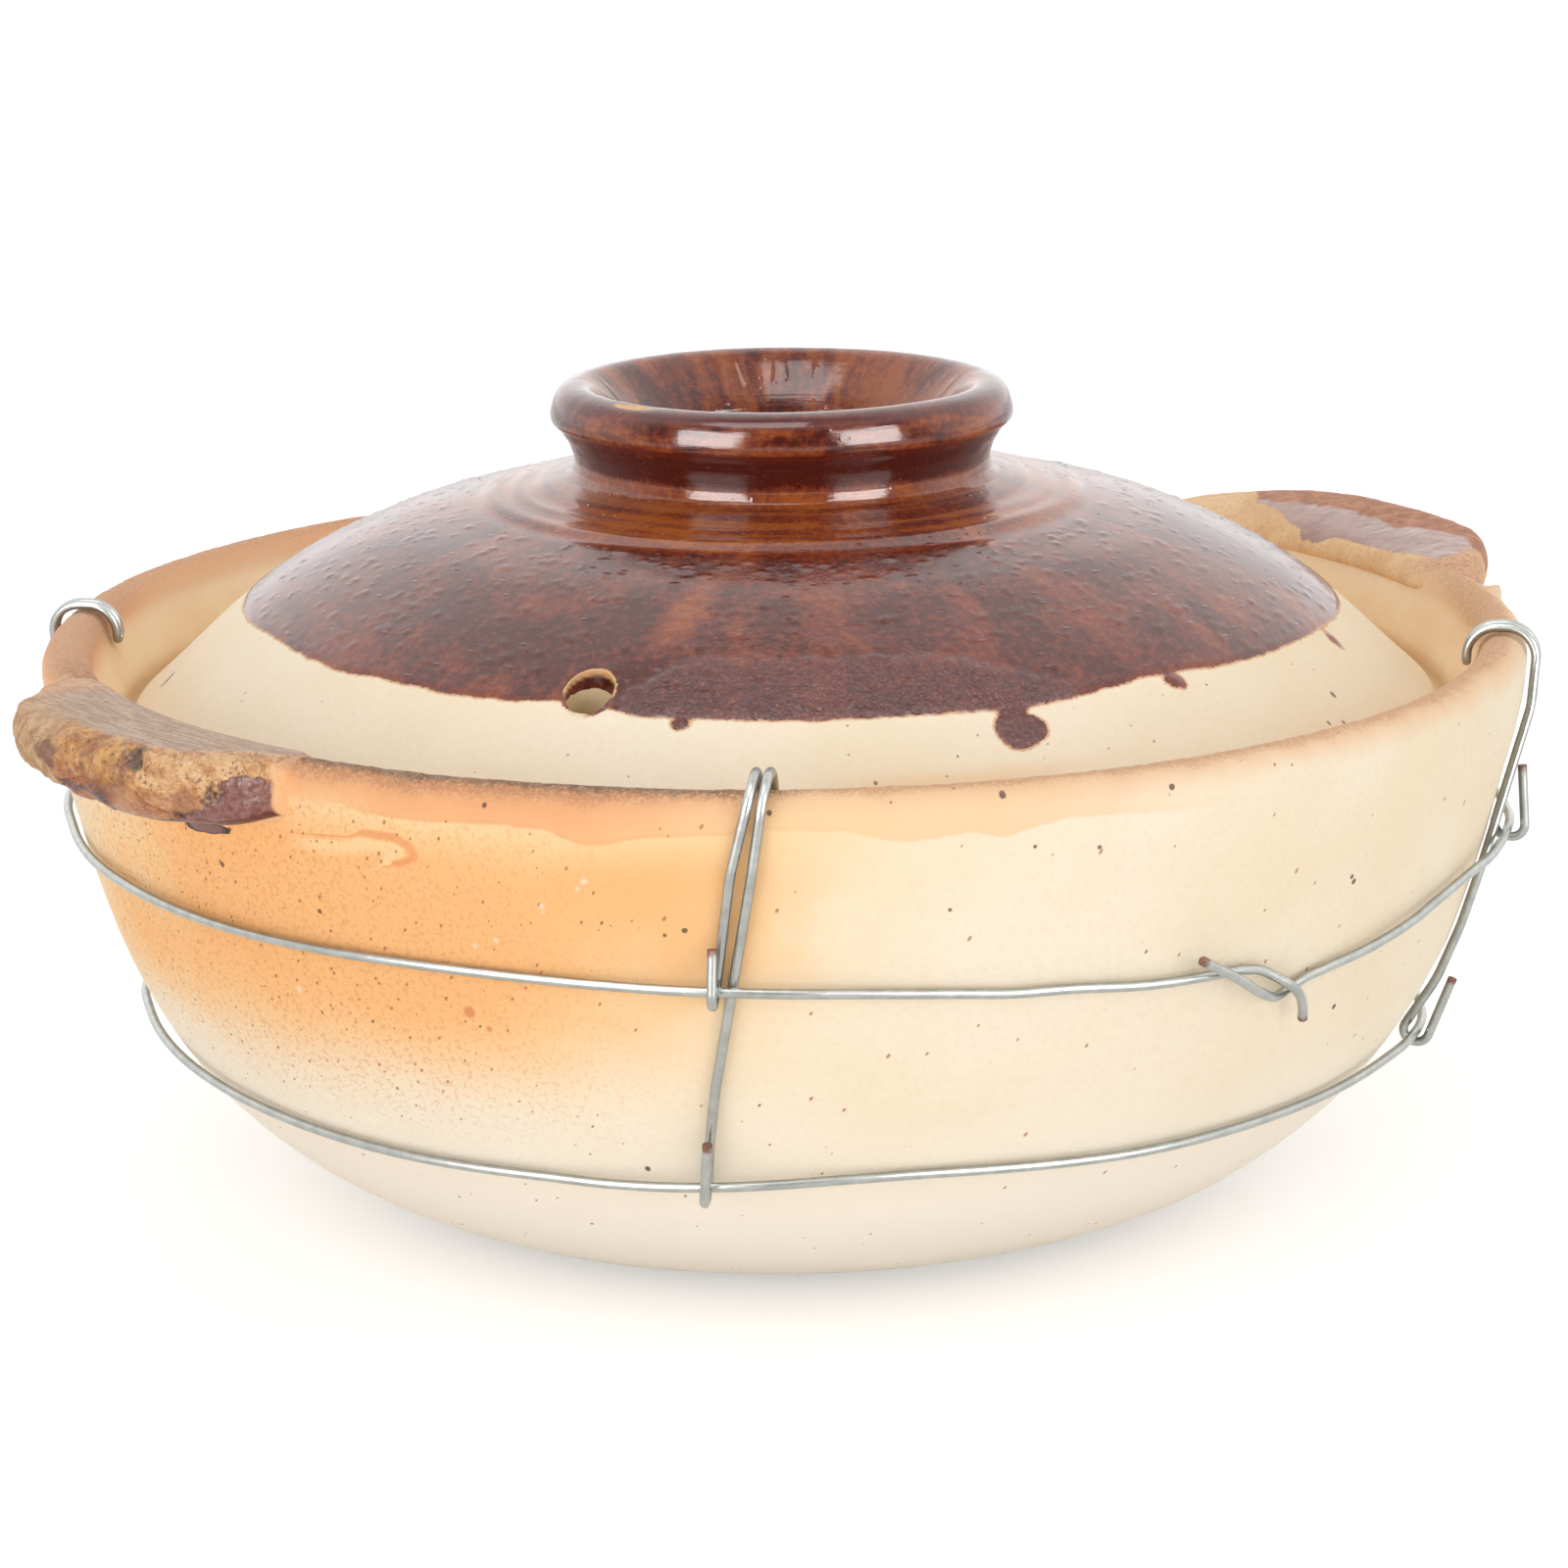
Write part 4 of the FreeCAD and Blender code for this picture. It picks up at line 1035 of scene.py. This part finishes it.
def near_lug_tones(p, kind):
    """The six colours of the near lug's face."""
    blotch = p.noise(3.0, 3.0, 0.6)
    dark, light = p.rise(kind, 0.44, 0.35), p.rise(kind, 0.60, 0.68)
    tan = p.mottled(blotch, 0.36, 0.64, (222, 182, 132), (186, 136, 88), ((124, 86, 60), dark, 0.6))
    amber = p.mottled(blotch, 0.38, 0.62, (220, 156, 62), (176, 104, 36),
                      ((96, 52, 26), dark, 0.85), ((238, 198, 130), light, 0.6))
    cream = p.mottled(blotch, 0.40, 0.62, (232, 180, 122), (202, 136, 70),
                      ((118, 68, 40), dark, 0.75), ((246, 224, 190), light, 0.6))
    rose = p.mottled(blotch, 0.36, 0.64, (206, 144, 92), (178, 112, 64))
    brown = p.mottled(p.noise(6.0, 2.0, 0.5), 0.40, 0.60, (188, 108, 50), (132, 66, 34),
                      ((84, 40, 28), dark, 0.7))
    mauve = p.mottled(p.noise(1.1, 2.0, 0.6), 0.35, 0.65, (152, 102, 92), (122, 70, 62))
    return tan, amber, cream, rose, brown, mauve


def near_lug_face(p, t, u, kind):
    """The blistered face: tan at the left tip, amber, cream and rose in the middle, brown below.
    Gives its colour, and where a slanting wedge of smooth mauve glaze lies at the right end."""
    tan, amber, cream, rose, brown, mauve = near_lug_tones(p, kind)
    low = p.rise(u, 0.485, 0.515)
    off_spot = p.distance(p.product(t, math.sqrt(90)), p.fit(u, 30.0, -14.1))
    wedge = p.total(u, p.fit(t, 0.75, -1.122))
    mauve_area = p.product(p.rise(wedge, -0.008, 0.008), p.rise(u, 0.405, 0.425), p.rise(t, 0.62, 0.68))
    pit = p.product(p.window(t, 0.46, 0.50, 0.54, 0.58), p.window(u, 0.33, 0.36, 0.41, 0.45))
    outline = p.product(p.window(wedge, -0.03, -0.01, 0.0, 0.02), p.rise(u, 0.40, 0.42),
                        p.rise(t, 0.60, 0.66))
    crack = p.product(p.window(u, 0.525, 0.545, 0.555, 0.575), p.window(t, 0.0, 0.06, 0.34, 0.42))
    lower_line = p.product(p.window(u, 0.595, 0.615, 0.66, 0.69), p.rise(t, 0.36, 0.50))
    face = p.coats(tan,
                   (amber, p.rise(t, 0.00, 0.14)),
                   (cream, p.rise(t, 0.50, 0.60), p.rise(u, 0.52, 0.47)),
                   (brown, low, p.rise(t, 0.0, 0.10)),
                   (rose, low, p.rise(t, 0.36, 0.48), p.rise(u, 0.64, 0.60)),
                   ((104, 52, 28), p.rise(off_spot, 1.25, 0.7, 0.0, 0.75)),
                   # painted shade: dark in the pit
                   ((66, 46, 40), pit, 0.85),
                   (mauve, mauve_area),
                   ((84, 36, 28), outline, 0.6),
                   # painted shade: dark along the crack
                   ((72, 44, 34), crack, 0.8),
                   ((92, 26, 18), lower_line, 0.9))
    return face, mauve_area


def near_lug_material():
    p = Paint("near_lug_blistered_glaze")
    along, around = p.attributes("along", "around")
    wander = p.fit(p.noise(4.0, 3.0, 0.65), 0.12, -0.06)
    u = p.total(around, wander)
    t = p.total(along, p.product(wander, 1.6))
    grain, _ = p.cells(1.0)
    fine = p.noise(0.7, 3.0, 0.7)
    face, mauve_area = near_lug_face(p, t, u, p.noise(0.9, 3.0, 0.65))
    # the glaze climbs onto the top towards the right end
    climb = p.total(u, p.rise(t, 0.66, 0.95, 0.0, 0.16))
    at_tip = p.rise(t, 0.10, -0.12)
    on_face = p.total(p.product(p.rise(climb, 0.315, 0.345), p.inverse(at_tip)),
                      p.product(p.rise(climb, 0.20, 0.48), at_tip))
    # painted highlights: white glints on the glassy face
    painted_glints = p.product(p.specks(1.4, 0.30, 0.05, 0.13), p.inverse(mauve_area), p.rise(t, -0.1, 0.2))
    under = p.rise(u, 0.68, 0.72)
    end = p.rise(p.total(along, p.product(wander, 0.08)), 0.976, 0.984)
    colour = p.coats(near_lug_top(p, t),
                     (p.coats(face, ((255, 240, 220), painted_glints, 0.7)), on_face),
                     (p.mottled(fine, 0.4, 0.6, (246, 208, 158), (232, 184, 130)), under),
                     (p.mottled(u, 0.36, 0.22, (248, 193, 138), (214, 162, 124)), end),
                     ((190, 126, 84), end, p.rise(fine, 0.56, 0.66), 0.3))
    bare_face = p.product(on_face, p.inverse(under), p.inverse(end))
    glassy = p.total(p.rise(t, 0.0, 0.16, 0.25, 1.0), p.fit(fine, -0.5, 0.25))
    glazed = p.math("MULTIPLY", bare_face, glassy, clamp=True)
    lumpy = p.total(p.product(p.inverse(grain), 0.50), p.product(fine, 0.35))
    relief = p.total(p.product(lumpy, bare_face, p.fit(mauve_area, -0.88, 1.0)), p.product(fine, 0.14))
    return p.finish(colour, p.fit(glazed, -0.74, 0.86), relief)


def far_lug_material():
    p = Paint("far_lug_glaze_patch")
    along, around = p.attributes("along", "around")
    wander = p.fit(p.noise(7.0, 4.0, 0.65), 0.16, -0.08)
    u = p.total(around, wander)
    t = p.total(along, wander)
    fine = p.noise(0.9, 3.0, 0.7)
    toasted = p.mottled(fine, 0.4, 0.6, (222, 174, 136), (196, 146, 110))
    clay = p.mottled(p.noise(12.0, 3.0, 0.6), 0.35, 0.65, (240, 204, 158), (228, 184, 136),
                     ((190, 138, 98), p.rise(fine, 0.5, 0.7, 0.0, 0.5)),
                     (toasted, p.rise(t, -0.60, -0.92), p.rise(around, -0.14, 0.0)))
    rust = p.mottled(p.noise(3.0, 3.0, 0.7), 0.35, 0.65, (190, 130, 96), (156, 98, 66))
    brown = p.mottled(p.noise(5.0, 3.0, 0.6), 0.35, 0.65, (176, 138, 122), (156, 116, 102))
    # the inner edge of the patch: over the lip in the middle, further out towards its ends
    inner_edge = p.total(p.rise(along, 0.15, 0.50, -0.02, 0.09), p.rise(along, -0.45, -0.85, 0.0, 0.08),
                         p.product(p.window(along, -0.10, -0.02, 0.08, 0.16), -0.05),
                         p.fit(p.noise(4.0, 3.0, 0.6), 0.05, -0.025))
    left_end = p.total(along, p.product(around, -0.68), p.product(wander, 0.3))
    right_end = p.total(t, p.product(around, -0.32))
    patch = p.product(p.rise(p.math("SUBTRACT", around, inner_edge), -0.006, 0.006), p.rise(u, 0.68, 0.62),
                      p.rise(left_end, 0.475, 0.455), p.rise(right_end, -0.87, -0.84))
    outer = p.rise(p.math("SUBTRACT", u, p.rise(along, -0.30, -0.75, 0.15, 0.32)), -0.015, 0.015)
    colour = p.mix(patch, clay, p.mix(outer, brown, rust))
    glazed = p.product(patch, p.fit(outer, -0.7, 1.0))
    relief = p.total(p.product(p.noise(2.2, 3.0, 0.6), 0.14), p.product(fine, 0.05))
    return p.finish(colour, p.fit(glazed, -0.62, 0.84), relief)


# wire

# the middle of the two end faces of each wire, where it was cut and rusts, and a worn spot on the
# left stay
WIRE_TIPS = {
    "upper_hoop": [(63.7, -112.2, 68.4), (81.7, -92.6, 52.8)],
    "lower_hoop": [(-26.3, 116.8, 40.0), (-47.3, 97.9, 24.4)],
    "stay_front": [(-11.5, -128.7, 76.1), (-12.9, -119.0, 41.8)],
    "stay_right": [(126.3, -29.8, 78.0), (114.7, -33.5, 41.1)],
    "stay_back": [(21.6, 127.5, 76.2), (22.7, 116.9, 40.7)],
    "stay_left": [(-128.7, 17.2, 78.4), (-118.3, 19.0, 42.4), (-131.0, 11.3, 98.5)],
}


def wire_material(name, tips):
    p = Paint("galvanised_wire_" + name)
    near = p.away_from(tips[0])
    for tip in tips[1:]:
        near = p.math("MINIMUM", near, p.away_from(tip))
    near = p.total(near, p.fit(p.noise(0.9, 2.0, 0.6), 1.2, -0.3))
    spangle = p.noise(3.0, 3.0, 0.6)
    fine = p.noise(0.5, 3.0, 0.7)
    stain = p.rise(p.noise(14.0, 3.0, 0.7), 0.66, 0.74)
    rust = p.product(p.rise(near, 1.9, 1.0), p.rise(p.noise(0.6, 3.0, 0.7), 0.25, 0.45))
    colour = p.mottled(spangle, 0.35, 0.65, (172, 174, 170), (158, 160, 156),
                       ((136, 137, 133), p.rise(fine, 0.55, 0.75, 0.0, 0.25)),
                       ((126, 104, 84), stain, p.rise(fine, 0.4, 0.6), 0.5),
                       ((122, 80, 62), rust))
    roughness = p.total(p.product(spangle, 0.10), p.product(rust, 0.35), p.rise(fine, 0.4, 0.7, 0.26, 0.32))
    relief = p.total(p.product(p.noise(1.2, 2.0, 0.5), 0.008), p.product(rust, fine, 0.08))
    return p.finish(colour, roughness, relief, metallic=p.fit(rust, -0.75, 1.0))


# stage, light and camera, in metres

WORLD_DIFFUSE = 0.70
WORLD_SEEN = {"sweep": 1.6, "ceiling": 0.8, "room": 0.10}
FLOOR_COLOUR, FLOOR_GLOW = 0.93, 0.36
CAMERA_PLACE = (-0.000442, -0.76810, 0.265759)
CAMERA_TILT, CAMERA_ROLL, CAMERA_LENS = 14.397, -0.70, 101.934
POT_MIDDLE, LID_MIDDLE = (0, 0, 0.07), (0, 0, 0.13)


def area_light(name, place, target, size, radiance, diffuse=True, glossy=True):
    """A rectangular lamp given by how bright its face is."""
    light = bpy.data.lights.new(name, "AREA")
    light.shape, light.size, light.size_y = "RECTANGLE", size[0], size[1]
    light.energy = radiance * math.pi * size[0] * size[1]
    lamp = bpy.data.objects.new(name, light)
    bpy.context.scene.collection.objects.link(lamp)
    lamp.location = place
    lamp.rotation_mode = "QUATERNION"
    lamp.rotation_quaternion = (Vector(target) - Vector(place)).to_track_quat("-Z", "Y")
    lamp.visible_camera = False
    lamp.visible_diffuse, lamp.visible_glossy = diffuse, glossy


def around_front(azimuth, elevation, distance, height=0.12):
    a, e = math.radians(azimuth), math.radians(elevation)
    return (distance * math.sin(a) * math.cos(e), -distance * math.cos(a) * math.cos(e),
            height + distance * math.sin(e))


def make_world():
    """Even light; shiny things see a white sweep behind, a dimmer ceiling and a dark room in front."""
    world = bpy.data.worlds.new("studio")
    bpy.context.scene.world = world
    world.use_nodes = True
    n = Nodes(world.node_tree)
    direction = n.add("ShaderNodeTexCoord").outputs["Generated"]
    _, y, z = n.add("ShaderNodeSeparateXYZ", {0: direction}).outputs
    around = n.rise(z, 0.86, 0.98, WORLD_SEEN["sweep"], WORLD_SEEN["ceiling"])
    front = n.rise(y, -0.55, 0.15, 1.0, 0.0)
    low = n.rise(z, 0.55, 0.95, 1.0, 0.0)
    seen = n.math("SUBTRACT", around, n.product(front, low, n.math("SUBTRACT", around, WORLD_SEEN["room"])))
    rays = n.add("ShaderNodeLightPath").outputs
    level = n.total(n.product(rays["Is Glossy Ray"], n.math("SUBTRACT", seen, WORLD_DIFFUSE)),
                    n.fit(rays["Is Camera Ray"], 1.0 - WORLD_DIFFUSE, WORLD_DIFFUSE))
    background = n.add("ShaderNodeBackground", {0: (1, 1, 1, 1), 1: level})
    n.add("ShaderNodeOutputWorld", {0: background.outputs[0]})


def make_floor():
    """A wide pale floor, a little lighter to the camera and in reflections."""
    half, lines, height = 9000.0, 9, -0.05
    steps = np.linspace(-half, half, lines)
    x, y = np.meshgrid(steps, steps, indexing="ij")
    floor = make_object("floor", np.c_[x.ravel(), y.ravel(), np.full(x.size, height)],
                        grid_quads(lines, lines, wrap_columns=False)[:, ::-1])
    material = bpy.data.materials.new("pale_floor")
    material.use_nodes = True
    n = Nodes(material.node_tree)
    diffuse = n.add("ShaderNodeBsdfDiffuse", {0: (FLOOR_COLOUR, FLOOR_COLOUR, FLOOR_COLOUR, 1)})
    rays = n.add("ShaderNodeLightPath").outputs
    seen = n.math("MAXIMUM", rays["Is Camera Ray"], rays["Is Glossy Ray"])
    glow = n.add("ShaderNodeEmission", {1: n.product(seen, FLOOR_GLOW)})
    both = n.add("ShaderNodeAddShader", {0: diffuse.outputs[0], 1: glow.outputs[0]})
    n.add("ShaderNodeOutputMaterial", {0: both.outputs[0]})
    floor.data.materials.append(material)


def make_lights():
    """Four soft fills that light the clay, and three boxes that only the glaze and wire reflect."""
    above = (-0.235, -0.52)
    area_light("overhead", (0.0, 0.1, 1.7), POT_MIDDLE, (1.6, 1.6), 0.62, glossy=False)
    area_light("left_fill", around_front(-38, 5, 1.8), POT_MIDDLE, (1.3, 0.9), 1.6, glossy=False)
    area_light("right_fill", around_front(38, 5, 1.8), POT_MIDDLE, (1.3, 0.9), 1.35, glossy=False)
    area_light("low_fill", (0, -0.62, 0.005), (0, -0.4, 1.0), (1.8, 0.8), 1.0, glossy=False)
    area_light("left_box", around_front(-37, 16, 1.5), LID_MIDDLE, (0.8, 1.05), 13.0, diffuse=False)
    area_light("right_box", around_front(44, 16, 1.5), LID_MIDDLE, (0.8, 1.05), 13.0, diffuse=False)
    area_light("top_box", (*above, 1.53), (*above, 0.0), (0.85, 0.8), 4.0, diffuse=False)


def make_camera():
    tilt, roll = math.radians(CAMERA_TILT), math.radians(CAMERA_ROLL)
    ahead = Vector((0, math.cos(tilt), -math.sin(tilt)))
    above = Vector((0, math.sin(tilt), math.cos(tilt)))
    aside = Vector((1, 0, 0))
    across = math.cos(roll) * aside + math.sin(roll) * above
    upward = -math.sin(roll) * aside + math.cos(roll) * above
    data = bpy.data.cameras.new("camera")
    data.sensor_width, data.lens = 36.0, CAMERA_LENS
    data.clip_start, data.clip_end = 0.01, 50.0
    camera = bpy.data.objects.new("camera", data)
    bpy.context.scene.collection.objects.link(camera)
    turn = Matrix((across, upward, -ahead)).transposed().to_4x4()
    camera.matrix_world = Matrix.Translation(CAMERA_PLACE) @ turn
    bpy.context.scene.camera = camera


# the pot

def dress(piece, node, body, material):
    piece.data.materials.append(material)
    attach(piece, body)
    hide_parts(node)


dress(make_bowl(), "bowl", "pot", bowl_material())
near_lug = make_lug("lug_near_blistered", NEAR_LUG, near_shift)
far_lug = make_lug("lug_far_patched", FAR_LUG, far_shift)
dress(near_lug, "lug_near", "pot", near_lug_material())
dress(far_lug, "lug_far", "pot", far_lug_material())
dress(make_lid(), "lid", "lid", lid_material())
dress(make_knob(), "knob_ring", "lid", knob_material())
for wire, tips in WIRE_TIPS.items():
    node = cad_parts[wire]
    node.data.materials.clear()
    node.data.materials.append(wire_material(wire, tips))

make_world()
make_floor()
make_lights()
make_camera()
bpy.context.scene.view_settings.view_transform = "Standard"
